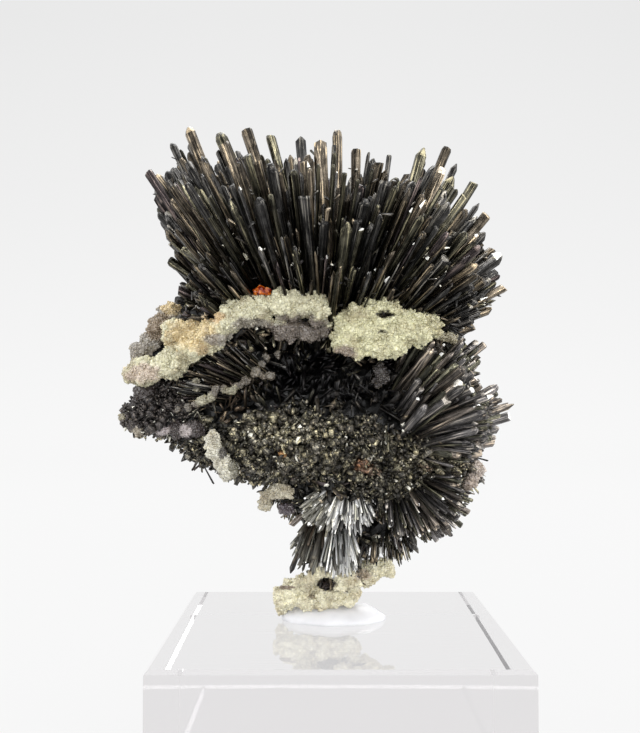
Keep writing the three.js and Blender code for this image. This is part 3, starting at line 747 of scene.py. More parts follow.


# Prisms placed one by one: tip, root, width in millimetres, kind, tone from dark (0) to pale (1); ends of
# prisms with a tone above about 0.85 carry a painted glint
crownPrisms = [
    ((-25.6, 79.8, 5), (-11.2, 58, 3), 1.4, "striatedBroken", 0.5),
    ((-21.3, 77.5, 8), (-10.5, 58, 5), 2.3, "striatedBroken", 0.86),
    ((-20.2, 85.9, 0), (-8.9, 58, 0), 1.6, "striatedBlunt", 0.7),
    ((-22.4, 83.8, -3), (-10.4, 58, -1), 1.5, "striatedBlunt", 0.5),
    ((-23.1, 79.9, -4), (-10.8, 58, -2), 1.5, "striatedBlunt", 0.4),
    ((-16.0, 85.2, 2), (-4.2, 58, 1), 2.1, "striatedBlunt", 0.6),
    ((-12.3, 85.5, 4), (-3.4, 58, 2), 1.7, "striatedBroken", 0.7),
    ((-13.2, 82.4, 0), (-4.8, 58, 0), 1.3, "pointed", 0.4),
    ((-9.0, 84.7, 3), (-1.6, 58, 2), 1.5, "striatedBroken", 0.8),
    ((-6.4, 82.2, 1), (-1.6, 58, 1), 1.0, "pointed", 0.5),
    ((-2.3, 83.4, 5), (-0.9, 58, 3), 2.0, "striatedSlant", 0.97),
    ((0.0, 85.6, 3), (0.4, 58, 2), 1.7, "striatedChisel", 0.85),
    ((2.6, 82.8, 4), (2.3, 58, 3), 1.4, "striatedBroken", 0.72),
    ((4.8, 81.7, 2), (3.4, 58, 2), 1.4, "striatedChisel", 0.6),
    ((7.1, 82.2, -1), (3.9, 58, 0), 0.9, "blade", 0.5),
    ((11.7, 83.2, 7), (4.6, 58, 6), 1.5, "pointed", 0.8),
    ((14.9, 83.0, 1), (4.4, 58, 1), 1.4, "striatedBroken", 0.3),
    ((14.3, 80.5, 7), (5.0, 58, 5), 1.5, "striatedChisel", 0.85),
    ((16.2, 81.0, -2), (5.2, 58, -1), 1.2, "pointed", 0.4),
    ((18.6, 78.4, 2), (6.2, 58, 1), 1.3, "striatedBroken", 0.75),
    ((19.2, 75.6, -2), (6.6, 58, -1), 1.1, "pointed", 0.3),
    ((20.3, 74.0, 5), (7.2, 58, 4), 1.4, "striatedBroken", 0.8),
    ((20.0, 71.6, 0), (7.6, 57.5, 0), 1.4, "striatedChisel", 0.5),
    ((22.2, 68.6, 6), (7.0, 57.5, 4), 1.9, "striatedBlunt", 0.87),
    ((22.0, 65.8, 2), (8.2, 57, 1), 0.8, "blade", 0.4),
    ((22.6, 64.2, 5), (8.8, 57, 3), 1.4, "striatedBroken", 0.8),
    ((20.9, 61.3, 3), (8.8, 56.5, 2), 1.2, "striatedChisel", 0.6),
    ((18.4, 58.9, 5), (8.4, 55.5, 3), 1.2, "striatedBroken", 0.7),
    ((-10.2, 74.0, 12), (-4.6, 59, 6), 1.3, "striatedSlant", 0.95),
    ((-15.4, 72.4, 11), (-8.2, 59, 6), 1.4, "pointed", 0.7),
    ((-4.2, 75.5, 12), (-2.2, 59, 7), 1.2, "striatedSlant", 0.95),
    ((-1.3, 74.2, 13), (-0.6, 59, 7), 1.3, "pointed", 0.8),
    ((5.6, 74.6, 12), (2.8, 59, 7), 1.4, "striatedChisel", 0.75),
    ((17.2, 71.4, 9), (6.8, 58.5, 6), 1.4, "striatedBroken", 0.8),
    ((12.6, 69.0, 13), (6.0, 58.5, 7), 1.3, "pointed", 0.85),
    ((-22.6, 67.8, 3), (-11.5, 60, 2), 1.4, "striatedBroken", 0.3),
    ((-21.9, 70.2, 0), (-11.0, 60.5, 0), 1.4, "pointed", 0.2),
    ((-20.4, 64.6, 5), (-11.0, 59, 3), 1.4, "striatedChisel", 0.3),
]
sidePrisms = [
    ((19.9, 56.5, 3), (8.6, 47.5, 2), 1.0, "striatedBroken", 0.7),
    ((19.3, 54.3, 5), (8.4, 46.5, 3), 0.9, "blade", 0.6),
    ((21.7, 50.8, 3), (7.8, 42.8, 2), 1.5, "striatedChisel", 0.8),
    ((21.0, 49.3, 6), (7.8, 42.3, 4), 1.4, "striatedBlunt", 0.87),
    ((23.8, 48.4, 1), (8.0, 42.3, 1), 0.8, "needle", 0.6),
    ((23.2, 46.8, 3), (8.0, 42.0, 2), 1.3, "striatedBroken", 0.87),
    ((21.8, 45.2, 5), (8.0, 41.6, 3), 1.1, "blade", 0.6),
    ((21.1, 43.5, 2), (8.0, 41.0, 2), 1.6, "striatedBroken", 0.86),
    ((19.5, 41.9, 5), (8.0, 40.6, 3), 1.4, "striatedChisel", 0.7),
]
lowPrisms = [
    ((17.7, 33.9, 3), (9.6, 38.6, 2), 0.8, "striatedBroken", 0.6),
    ((16.7, 32.1, 4), (9.2, 38.4, 3), 0.8, "striatedBroken", 0.4),
    ((15.4, 30.7, 2), (8.8, 38.2, 2), 0.7, "blade", 0.5),
    ((13.4, 30.1, 4), (8.4, 38.0, 3), 0.8, "striatedBroken", 0.7),
    ((9.7, 29.5, 2), (7.6, 37.6, 2), 0.9, "blade", 0.5),
    ((8.0, 29.0, 4), (6.4, 36.8, 3), 0.5, "needle", 0.9),
    ((-6.3, 25.8, 1), (-3.4, 33.0, 1), 0.75, "spike", 0.4),
    ((-6.2, 32.2, 5), (-0.4, 37.4, 4), 0.9, "striatedBroken", 0.8),
    ((-4.9, 30.8, 2), (-0.2, 36.8, 3), 0.8, "pointed", 0.7),
]


def placedCrystals(rows, dice, tints):
    tips = place([row[0] for row in rows])
    roots = place([row[1] for row in rows])
    count = len(rows)
    return {"root": roots, "way": tips - roots, "length": np.linalg.norm(tips - roots, axis=1),
            "width": np.array([row[2] for row in rows]), "flat": dice.uniform(0.7, 0.95, count),
            "twist": dice.random(count) * math.pi, "kind": np.array([row[3] for row in rows]),
            "tone": np.array([row[4] for row in rows]),
            "tint": tintsFor(dice, np.array([row[4] for row in rows]), tints)}


def joinCrystals(*groups):
    return {key: np.concatenate([group[key] for group in groups]) for key in groups[0]}


def keep(crystals, test):
    return {key: value[test] for key, value in crystals.items()}


def insideBox(crystals):
    # no prism reaches past the outline that the solids give the burr
    tips = crystals["root"] + unit(crystals["way"]) * crystals["length"][:, None]
    fits = (tips[:, 0] > -29.5) & (tips[:, 0] < 24.2) & (tips[:, 2] < 86) & (tips[:, 2] > 20.5)
    return keep(crystals, fits & (np.abs(tips[:, 1]) < 19.5))


def clearOfCrusts(crystals):
    # leaves out what would stand between the camera and a lump of a crust
    blocked = np.zeros(len(crystals["length"]), bool)
    shown = shownAt(crustSpots)
    for share in (0.15, 0.4, 0.6, 0.8, 1):
        points = crystals["root"] + unit(crystals["way"]) * (share * crystals["length"])[:, None]
        seen = shownAt(points)
        for middle, spot, size in zip(shown, crustSpots, crustSizes):
            near = np.hypot(*(seen - middle).T) < size
            blocked |= near & (points[:, 1] < spot[1] - 0.35 * size)
    return keep(crystals, ~blocked)


def thinned(kinds, width):
    # prisms too thin for their grooves to be seen have fewer of them
    thin = {"striatedBroken": "thinBroken", "striatedSlant": "thinSlant", "striatedChisel": "thinChisel",
            "striatedBlunt": "thinChisel", "blade": "thinChisel"}
    return np.where(width < 0.72, [thin.get(kind, kind) for kind in kinds], kinds)


def spray(rules):
    # a fan of prisms from a long root, shorter to its sides and where it leans to front or back
    dice = np.random.default_rng(rules["seed"])
    count = rules["count"]
    side = dice.uniform(-1, 1, count)
    lean = dice.uniform(-1, 1, count)
    low, high = rules["fan"]
    back, front = rules["tilt"]
    angle = low + (high - low) * (side + 1) / 2 + dice.normal(0, rules.get("stray", 4), count)
    tilt = back + (front - back) * (lean + 1) / 2
    spread = np.array(rules["spread"])
    roots = np.array(rules["root"], float) + np.column_stack(
        (side, dice.uniform(-0.5, 0.5, count), lean)) * spread
    shorter = 1 - rules.get("taper", 0.3) * np.abs(side) ** rules.get("power", 4)
    length = dice.uniform(*rules["reach"], count) * shorter
    length *= np.minimum(1, rules["deep"] / np.maximum(length * np.abs(np.sin(np.radians(tilt))), 0.1))
    width = rules["width"][0] + (rules["width"][1] - rules["width"][0]) * dice.random(count) ** 2
    roots, ways, tones = place(roots), fanWay(angle, tilt), dice.random(count) ** 1.2
    # wide prisms get lower tones: a little darker, and mostly below the tone of the painted glint
    tones = np.where(width > 1.05, 0.87 * tones, tones)
    if "within" in rules:
        shares = dice.uniform(*rules["share"], count) * (1 - 0.12 * lean ** 2)
        length = heldIn(rules["within"], roots, ways, length, shares)
    tints = tintsFor(dice, tones, rules.get("tints", prismTints), rules.get("lowest", 0.3))
    tints = zoned(tints, roots + ways * length[:, None], rules.get("zones", []))
    return clearOfCrusts(insideBox({
        "root": roots, "way": ways, "length": length, "width": width,
        "flat": dice.uniform(0.6, 0.95, count), "twist": dice.random(count) * math.pi,
        "kind": thinned(pickKinds(dice, count, rules["kinds"]), width), "tone": tones, "tint": tints,
    }))


longKinds = {"striatedBroken": 0.2, "striatedSlant": 0.1, "striatedChisel": 0.16, "striatedBlunt": 0.22,
             "pointed": 0.14, "blade": 0.1, "needle": 0.08}
fineKinds = {"striatedBroken": 0.08, "striatedSlant": 0.14, "pointed": 0.2, "blade": 0.18, "needle": 0.4}
sprays = {
    "stibnite_crown": [
        {"root": (-1, 57, 1), "spread": (9.5, 3, 6), "fan": (-52, 70), "tilt": (-50, 44), "deep": 13,
         "reach": (22, 32), "width": (0.65, 1.9), "count": 460, "kinds": longKinds, "seed": 5,
         "within": crownReach, "share": (0.72, 0.97)},
        {"root": (-1, 57, 3), "spread": (10, 3, 5), "fan": (-58, 72), "tilt": (-20, 55), "deep": 14,
         "reach": (10, 24), "width": (0.3, 0.95), "count": 820, "kinds": fineKinds, "seed": 6,
         "within": crownReach, "share": (0.45, 0.86)},
        {"root": (-7, 57, 0), "spread": (5, 3, 3), "fan": (-42, -20), "tilt": (-26, 8), "deep": 12,
         "reach": (26, 38), "width": (0.7, 1.8), "count": 150, "kinds": longKinds, "seed": 8,
         "within": crownReach, "share": (0.86, 0.985)},
        {"root": (4, 57, 1), "spread": (5, 3, 4), "fan": (16, 64), "tilt": (-26, 24), "deep": 13,
         "reach": (24, 34), "width": (0.7, 1.9), "count": 150, "kinds": longKinds, "seed": 9,
         "within": crownReach, "share": (0.82, 0.98)},
        {"root": (-9, 58, 2), "spread": (4, 4, 3), "fan": (-72, -48), "tilt": (-22, 30), "deep": 12,
         "reach": (10, 17), "width": (0.6, 1.6), "count": 90, "kinds": longKinds, "seed": 10,
         "within": crownReach, "share": (0.82, 0.97)},
        {"root": (-14, 59.5, 1), "spread": (3, 2, 2.5), "fan": (-80, -50), "tilt": (-25, 30), "deep": 9,
         "reach": (4, 9), "width": (0.35, 1.1), "count": 130, "kinds": longKinds, "seed": 11,
         "within": crownReach, "share": (0.7, 0.96)},
    ],
    "stibnite_right_fan": [
        {"root": (8, 43.5, 1), "spread": (2, 4, 4), "fan": (32, 112), "tilt": (-50, 46), "deep": 11,
         "reach": (12, 18), "width": (0.4, 1.6), "count": 620, "kinds": longKinds, "seed": 17,
         "within": rightReach, "share": (0.76, 1), "tints": litSideFanTints},
        {"root": (9, 48, 2), "spread": (3, 3, 4), "fan": (30, 60), "tilt": (-30, 34), "deep": 10,
         "reach": (10, 17), "width": (0.4, 1.4), "count": 200, "kinds": longKinds, "seed": 18,
         "within": rightReach, "share": (0.84, 1), "tints": litSideFanTints},
    ],
    "stibnite_low_fan": [
        {"root": (8.4, 38.6, 1), "spread": (-2.4, 2, 3), "fan": (86, 198), "tilt": (-55, 50), "deep": 8,
         "reach": (6, 12), "width": (0.24, 0.8), "count": 900, "kinds": longKinds, "seed": 23,
         "within": lowReach, "share": (0.84, 1), "tints": litSideFanTints},
    ],
    "stibnite_back_burrs": [
        {"root": (6, 34, 1), "spread": (-2.8, 1.2, 2), "fan": (156, 204), "tilt": (-30, 20), "deep": 5,
         "reach": (3.6, 6.8), "width": (0.25, 0.9), "count": 260, "kinds": fineKinds, "seed": 24},
        {"root": (-5, 50, -3), "spread": (11, 6, 3), "fan": (-80, 80), "tilt": (-88, -20), "deep": 13,
         "reach": (9, 16), "width": (0.5, 1.7), "count": 350, "kinds": longKinds, "seed": 41, "stray": 9,
         "within": crownReach, "share": (0.8, 0.95)},
        {"root": (-3, 42, -2), "spread": (12, 4, 2), "fan": (110, 250), "tilt": (-78, -15), "deep": 10,
         "reach": (6, 10), "width": (0.45, 1.4), "count": 300, "kinds": longKinds, "seed": 43, "stray": 9},
        {"root": (-1, 56, -4), "spread": (8, 2, 2), "fan": (-56, 62), "tilt": (-68, -34), "deep": 14,
         "reach": (14, 21), "width": (0.6, 1.9), "count": 220, "kinds": longKinds, "seed": 49,
         "within": crownReach, "share": (0.8, 0.95)},
    ],
}
darkSide = ((-6.8, 32), (5.4, 6), (0.26, 0.25, 0.2), 0.85)
brightSprays = {
    "stibnite_neck_rosette": [
        {"root": (1.4, 36.8, 6), "spread": (-3, 1.6, 1.2), "fan": (138, 240), "tilt": (-6, 34), "deep": 5,
         "reach": (2.4, 6.5), "width": (0.25, 0.75), "count": 640, "kinds": fineKinds, "seed": 31,
         "stray": 7, "within": neckReach, "share": (0.45, 1), "tints": sheenPaintedTints, "zones": [darkSide],
         "lowest": 0.7},
    ],
    "stibnite_foot_rosette": [
        {"root": (0.4, 31.2, 3.4), "spread": (-1.6, 1.2, 1), "fan": (168, 196), "tilt": (-8, 20), "deep": 5,
         "reach": (2.6, 5.6), "width": (0.22, 0.6), "count": 150, "kinds": fineKinds, "seed": 37,
         "tints": sheenPaintedTints, "lowest": 0.7},
        {"root": (-1, 32.4, 1), "spread": (-3, 1.6, 2), "fan": (166, 204), "tilt": (-40, 30), "deep": 5,
         "reach": (2.6, 6.8), "width": (0.22, 0.9), "count": 300, "kinds": fineKinds, "seed": 38,
         "tints": neckTints, "stray": 8},
    ],
}
innerFan = {"root": (-7, 48.6, 4.5), "spread": (2, 2, 1.5), "fan": (-88, -48), "tilt": (-8, 26), "deep": 5,
            "reach": (8, 14.5), "width": (0.2, 0.6), "count": 420, "kinds": fineKinds, "seed": 47}


sprayFinish = {"stibnite_neck_rosette": "paintedShine", "stibnite_foot_rosette": "paintedShine",
               "stibnite_right_fan": "fan", "stibnite_low_fan": "fan"}


def growSprays():
    placed = {"stibnite_crown": crownPrisms, "stibnite_right_fan": sidePrisms,
              "stibnite_low_fan": lowPrisms}
    for name, fans in {**sprays, **brightSprays, "stibnite_inner_fan": [innerFan]}.items():
        groups = [spray(rules) for rules in fans]
        if name in placed:
            groups.append(placedCrystals(placed[name], np.random.default_rng(7),
                                         fans[0].get("tints", prismTints)))
        crystals = joinCrystals(*groups)
        piece = meshFrom(name, prismLots(crystals))
        dress(piece, finishes[sprayFinish.get(name, "crown")], "stibnite", "stibnite_crystals")
        print(name, len(crystals["length"]), "prisms")
        if name == "stibnite_crown":
            crownJumble(crystals)


# Colours of parts of the front: middle, half size, colour, strength. The first two are painted shade, near
# black in the hollow under the crown.
heartColourAndShadeZones = [
    ((-4.3, 51.5), (7, 4.5), (0.008, 0.007, 0.009), 0.97),
    ((4.5, 49.3), (6, 4), (0.02, 0.019, 0.02), 0.85),
    ((-7.3, 43.5), (10, 3.6), (0.5, 0.47, 0.35), 0.75),
    ((7, 40.5), (8.5, 4), (0.46, 0.43, 0.31), 0.75),
    ((-14.3, 48.2), (3.2, 2.6), (0.2, 0.145, 0.1), 0.9),
    ((-24, 48.2), (5, 3.2), (0.075, 0.064, 0.07), 0.9),
    ((-19, 46.6), (3, 2), (0.3, 0.29, 0.24), 0.8),
]
# where the tone is held down, so that painted highlights and glints stay out of the shaded hollow
cavityShadeZones = [((-2, 51), (14, 6), (0.7, 0, 0), 1), ((-14, 49), (5, 3), (0.75, 0, 0), 1)]
# where the crystals are mere grains: the share of their length that is left
shortZones = [
    ((-24.5, 47), (6.5, 6), (0.3, 0, 0), 1),
    ((-5, 43), (15, 5), (0.5, 0, 0), 1),
    ((8, 40), (9, 5), (0.55, 0, 0), 1),
    ((-25, 58), (5, 6), (0.25, 0, 0), 1),
    ((0.4, 31), (7, 6.5), (0.4, 0, 0), 1),
]


def coverHeart():
    # short prisms all over the heart below the crown, in patches that lean the same way
    rules = {"count": 7550, "length": (0.9, 3.2), "width": (0.24, 0.85), "seed": 53}
    dice = np.random.default_rng(rules["seed"])
    middles, normals, areas = surfaceOf(core)
    low = areas * (middles[:, 2] < 62)
    at = dice.choice(len(middles), rules["count"], p=low / low.sum())
    roots, out = middles[at] + dice.normal(0, 0.25, (len(at), 3)), normals[at]
    drift = np.array([[noise.noise(Vector(spot * 0.16 + shift)) for shift in (0, 40, 80)] for spot in roots])
    ways = unit(0.7 * out + 1.4 * drift + dice.normal(0, 0.5, (len(at), 3)))
    ways = np.where(np.sum(ways * out, axis=1, keepdims=True) < 0.1, unit(ways + 0.8 * out), ways)
    count = len(at)
    plain = np.ones((count, 3))
    # tones held down in the shaded hollow keep painted glints out of it; the tints still use the full tones
    cavityShade = zoned(plain, roots, cavityShadeZones)[:, 0]
    short = zoned(plain, roots, shortZones)[:, 0]
    tones = dice.random(count) * cavityShade
    tints = zoned(tintsFor(dice, tones / cavityShade), roots, heartColourAndShadeZones) * dice.uniform(0.5, 1.4, (count, 1))
    crystals = clearOfCrusts(insideBox({
        "root": roots - ways * 0.4, "way": ways, "tint": tints,
        "length": 0.4 + short * dice.uniform(*rules["length"], count) * dice.uniform(0.6, 1.1, count),
        "width": rules["width"][0] + (rules["width"][1] - rules["width"][0]) * dice.random(count) ** 2,
        "flat": dice.uniform(0.6, 1, count), "twist": dice.random(count) * math.pi,
        "kind": pickKinds(dice, count, {"stub": 0.5, "spike": 0.26, "needle": 0.24}),
        "tone": tones,
    }))
    piece = meshFrom("stibnite_druse", prismLots(crystals))
    dress(piece, finishes["druse"], "stibnite", "stibnite_crystals")
    print("stibnite_druse", len(crystals["length"]), "prisms")


# The band of blocky sparkling crystals: where it lies, then its rusty and pale bits
bandZones = [((-6, 43.2), (13.5, 4.6), (1, 0, 0), 1), ((7.5, 40.2), (9.5, 4.4), (1, 0, 0), 1),
             ((-14.3, 48), (4.4, 2.2), (0, 0, 0), 1), ((-24.5, 48.4), (5.5, 3.2), (1, 0, 0), 1)]
glowZones = [((-6.2, 44.8), (6.5, 2.4), (1.35, 1.35, 1.3), 0.8)]
bandTints = [
    ((3.3, 40.2), (1.3, 1), (0.34, 0.17, 0.1), 0.8),
    ((4.8, 39.3), (1.2, 0.5), (0.4, 0.28, 0.2), 0.65),
    ((12, 39.9), (0.9, 0.6), (0.36, 0.24, 0.17), 0.5),
    ((-7.4, 41.9), (0.45, 0.5), (0.42, 0.22, 0.09), 0.7),
    ((-25, 48.6), (7, 4.2), (0.098, 0.085, 0.082), 0.97),
]


def sparklingBand():
    rules = {"count": 8800, "size": (0.15, 0.6), "seed": 61, "proud": (0, 0.8)}
    dice = np.random.default_rng(rules["seed"])
    middles, normals, areas = surfaceOf(core)
    wanted = areas * zoned(np.zeros((len(areas), 3)), middles, bandZones)[:, 0] * (normals[:, 1] < 0.1)
    at = dice.choice(len(middles), rules["count"], p=wanted / wanted.sum())
    count = len(at)
    roots = middles[at] + normals[at] * dice.uniform(*rules["proud"], (count, 1))
    roots = roots + dice.normal(0, 0.3, (count, 3))
    low, high = rules["size"]
    size = low + (high - low) * dice.random(count) ** 3
    colours = [(0.45, 0.41, 0.29), (0.125, 0.112, 0.09), (0.3, 0.28, 0.235)]
    tints = np.array(colours)[dice.choice(3, count, p=[0.32, 0.42, 0.26])] * dice.uniform(0.4, 1.5, (count, 1))
    patchy = np.array([noise.noise(Vector(spot * 0.45)) for spot in roots])
    tints *= zoned(np.clip(0.75 + 1.5 * patchy, 0.25, 1.8)[:, None] * np.ones(3), roots, glowZones)
    tints = zoned(tints, roots, bandTints)
    # the band's sparkle is the painted glint that the druse finish puts on one grain face in five
    piece = meshFrom("stibnite_sparkling_band", grainLots(roots, size, tints, dice, normals[at], (0.4, 2.1)))
    dress(piece, finishes["druse"], "stibnite", "stibnite_crystals")
    print("stibnite_sparkling_band", count, "grains")


# painted shade: near black on the small crystals low in the crown
crownBaseShade = ((-1, 63), (17, 7), (0.018, 0.016, 0.016), 0.9)


def crownJumble(crystals):
    # small crystals caught on the flanks of the long ones; those near the crown's base are painted near black,
    # as shade
    rules = {"count": 2900, "along": (0.25, 0.95), "length": (0.5, 1.9), "width": (0.18, 0.5), "seed": 59}
    dice = np.random.default_rng(rules["seed"])
    count = rules["count"]
    host = dice.integers(0, len(crystals["length"]), count)
    way = unit(crystals["way"][host])
    share = dice.uniform(*rules["along"], count) * crystals["length"][host]
    side = unit(np.cross(way, dice.normal(size=(count, 3))) - np.array([0, 0.4, 0]))
    roots = crystals["root"][host] + way * share[:, None] + side * (crystals["width"][host] * 0.3)[:, None]
    tones = dice.random(count)
    piece = meshFrom("stibnite_crown_jumble", prismLots(clearOfCrusts(insideBox({
        "root": roots, "way": unit(side + 0.9 * way + dice.normal(0, 0.5, (count, 3))),
        "length": dice.uniform(*rules["length"], count), "width": dice.uniform(*rules["width"], count),
        "flat": dice.uniform(0.6, 1, count), "twist": dice.random(count) * math.pi,
        "kind": pickKinds(dice, count, {"stub": 0.45, "spike": 0.25, "needle": 0.3}),
        "tone": tones, "tint": zoned(tintsFor(dice, tones), roots, [crownBaseShade])}))))
    dress(piece, finishes["druse"], "stibnite", "stibnite_crystals")
    print("stibnite_crown_jumble", count, "crystals")


def modelCrust(name):
    # lumps and smaller knobs on them, fused by a voxel skin, then sugared with grains
    look = crustLook[name]
    zones = look.get("zones", [])
    slim = look.get("slim", 1)
    dice = np.random.default_rng(sum(map(ord, name)))
    balls = [(at, slim * radius * dice.uniform(*crustRules["body"])) for at, radius in crustLumps[name]]
    for at, radius in crustLumps[name]:
        for _ in range(crustRules["knobs"]):
            out = slim * unit(dice.normal(size=3) + np.array([0, -0.4, 0.1]))
            balls.append((at + out * radius * dice.uniform(0.6, 0.95),
                          slim * radius * dice.uniform(*crustRules["knob"])))
    letGo()
    made = []
    for at, radius in balls:
        bpy.ops.mesh.primitive_ico_sphere_add(
            subdivisions=2, radius=radius * mm, location=Vector(at) * mm)
        made.append(bpy.context.object)
    for ball in made:
        ball.select_set(True)
    bpy.context.view_layer.objects.active = made[0]
    bpy.ops.object.join()
    crust = bpy.context.object
    bpy.ops.object.transform_apply(location=True, rotation=True, scale=True)
    skin = crust.modifiers.new("skin", "REMESH")
    skin.mode = "VOXEL"
    skin.voxel_size = crustRules["voxel"] * mm
    bpy.ops.object.modifier_apply(modifier="skin")
    for point in crust.data.vertices:
        swell = noise.noise(point.co * 1500) + 0.8 * noise.noise(point.co * 650)
        point.co += point.normal * swell * crustRules["rough"] * mm
    for (across, up), (wide, high), (back, down) in look.get("pits", []):
        spots = np.array([point.co for point in crust.data.vertices]) / mm
        seen = shownAt(spots)
        away = np.hypot((seen[:, 0] - across) / wide, (seen[:, 1] - up) / high)
        front = spots[:, 1] < np.median(spots[away < 1, 1])
        pushed = 1 - smoothstep(0.6, 1.15, away)
        for point, share, isFront in zip(crust.data.vertices, pushed, front):
            point.co.y += share * back * mm * isFront
            point.co.z -= share * down * mm
    middles, normals, areas = surfaceOf(crust)
    at = dice.choice(len(middles), look["grains"], p=areas / areas.sum())
    low, high = look.get("grain", crustRules["grain"])
    size = low + (high - low) * dice.random(len(at)) ** 2
    base = zoned(np.tile(look["tint"], (len(middles), 1)), middles, zones)
    tints = base[at] * dice.uniform(0.88, 1.1, (len(at), 1))
    grains = meshFrom(name + "_grains", grainLots(middles[at], size, tints, dice, normals[at]))
    blank = len(crust.data.polygons)
    crust.data.attributes.new("tone", "FLOAT", "FACE").data.foreach_set("value", np.full(blank, 0.3))
    crust.data.attributes.new("tint", "FLOAT_VECTOR", "FACE").data.foreach_set("vector", base.ravel())
    letGo()
    grains.select_set(True)
    crust.select_set(True)
    bpy.context.view_layer.objects.active = crust
    bpy.ops.object.join()
    crust.name = name + "_sugar"
    dress(crust, finishes[look["finish"]], "lilac_calcite" if look["finish"] == "lilac" else "calcite", name)
    print(crust.name, len(crust.data.polygons), "faces")
    return crust


# the heart has no tint, so the druse finish shows it black: painted shade between the crystals
dress(core, finishes["druse"], "stibnite", "stibnite_crystals")
growSprays()
coverHeart()
sparklingBand()
for name in druses:
    modelCrust(name)


def amberFinish():
    finish, nodes, links, shader = newFinish("amberGlass")
    where = addNode(nodes, "ShaderNodeTexCoord").outputs["Object"]
    cloud = addNode(nodes, "ShaderNodeTexNoise", Scale=1800.0, Detail=3.0)
    links.new(where, cloud.inputs["Vector"])
    links.new(ramp(nodes, links, cloud.outputs["Fac"],
              [(0.42, (0.2, 0.012, 0.003)), (0.62, (0.8, 0.2, 0.012))]), shader.inputs["Base Color"])
    links.new(ramp(nodes, links, cloud.outputs["Fac"], [(0.3, (0.08, 0.08, 0.08)), (0.7, (0.25, 0.25, 0.25))]),
              shader.inputs["Roughness"])
    shader.inputs["Transmission Weight"].default_value = 0.2
    shader.inputs["IOR"].default_value = 1.6
    shader.inputs["Subsurface Weight"].default_value = 0.25
    shader.inputs["Subsurface Radius"].default_value = (1, 0.3, 0.08)
    shader.inputs["Subsurface Scale"].default_value = 0.0006
    return finish


def modelAmber():
    centre = place(amberRules["at"])[0]
    shifts = [(-0.1, 0, 0), (0.7, -0.1, -0.05), (-0.65, 0.1, -0.1)]
    letGo()
    made = []
    for size, shift in zip(amberRules["sizes"], shifts):
        bpy.ops.mesh.primitive_ico_sphere_add(
            subdivisions=1, radius=size * mm, location=Vector(centre + np.array(shift)) * mm)
        crystal = bpy.context.object
        crystal.rotation_euler = (size * 3, size * 7, size * 5)
        made.append(crystal)
    for crystal in made:
        crystal.select_set(True)
    bpy.context.view_layer.objects.active = made[0]
    bpy.ops.object.join()
    amber = bpy.context.object
    bpy.ops.object.transform_apply(location=True, rotation=True, scale=True)
    bevel = amber.modifiers.new("edges", "BEVEL")
    bevel.width = amberRules["bevel"] * mm
    bevel.segments = 1
    bpy.ops.object.modifier_apply(modifier="edges")
    amber.name = "amber_crystal"
    dress(amber, amberFinish(), "amber", "amber_grain")


modelAmber()

# Putty pad: a soft dome pressed out under the foot
puttyRules = {"at": (-0.55, 3.5), "half": (7.2, 4.7), "height": 2.3, "foot": 19.0}


def puttyFinish():
    finish, nodes, links, shader = newFinish("whitePutty")
    where = addNode(nodes, "ShaderNodeTexCoord").outputs["Object"]
    soft = addNode(nodes, "ShaderNodeTexNoise", Scale=260.0, Detail=3.0)
    links.new(where, soft.inputs["Vector"])
    links.new(ramp(nodes, links, soft.outputs["Fac"], [(0.3, (0.66, 0.66, 0.69)), (0.7, (0.77, 0.77, 0.79))]),
              shader.inputs["Base Color"])
    links.new(ramp(nodes, links, soft.outputs["Fac"], [(0.3, (0.25, 0.25, 0.25)), (0.7, (0.45, 0.45, 0.45))]),
              shader.inputs["Roughness"])
    shader.inputs["Subsurface Weight"].default_value = 0.5
    shader.inputs["Subsurface Radius"].default_value = (1, 0.95, 0.95)
    shader.inputs["Subsurface Scale"].default_value = 0.002
    shader.inputs["Transmission Weight"].default_value = 0.1
    bump = addNode(nodes, "ShaderNodeBump", Strength=0.3, Distance=0.0003)
    links.new(soft.outputs["Fac"], bump.inputs["Height"])
    links.new(bump.outputs["Normal"], shader.inputs["Normal"])
    return finish


def modelPutty():
    letGo()
    bpy.ops.mesh.primitive_uv_sphere_add(segments=64, ring_count=32, radius=1)
    pad = bpy.context.object
    pad.scale = (puttyRules["half"][0] * mm, puttyRules["half"][1] * mm, puttyRules["height"] * mm)
    pad.location = (puttyRules["at"][0] * mm, puttyRules["at"][1] * mm, puttyRules["foot"] * mm)
    bpy.ops.object.transform_apply(location=True, rotation=True, scale=True)
    pickFaces(pad, lambda face: True)
    bpy.ops.mesh.bisect(plane_co=(0, 0, puttyRules["foot"] * mm), plane_no=(0, 0, 1),
                        use_fill=True, clear_inner=True)
    bpy.ops.object.mode_set(mode="OBJECT")
    floorOfPad = puttyRules["foot"] * mm
    for point in pad.data.vertices:
        rise = (point.co.z - floorOfPad) / (puttyRules["height"] * mm)
        wave = noise.noise(point.co * 330)
        point.co.x += 0.0005 * wave * (1 - rise)
        point.co.y += 0.0004 * noise.noise(point.co * 360 + Vector((3, 1, 2))) * (1 - rise)
        point.co.z += 0.0003 * wave * min(rise * 3, 1)
    bpy.ops.object.shade_smooth_by_angle(angle=math.radians(50))
    pad.name = "putty_dome"
    dress(pad, puttyFinish(), "putty", "putty_pad")


modelPutty()


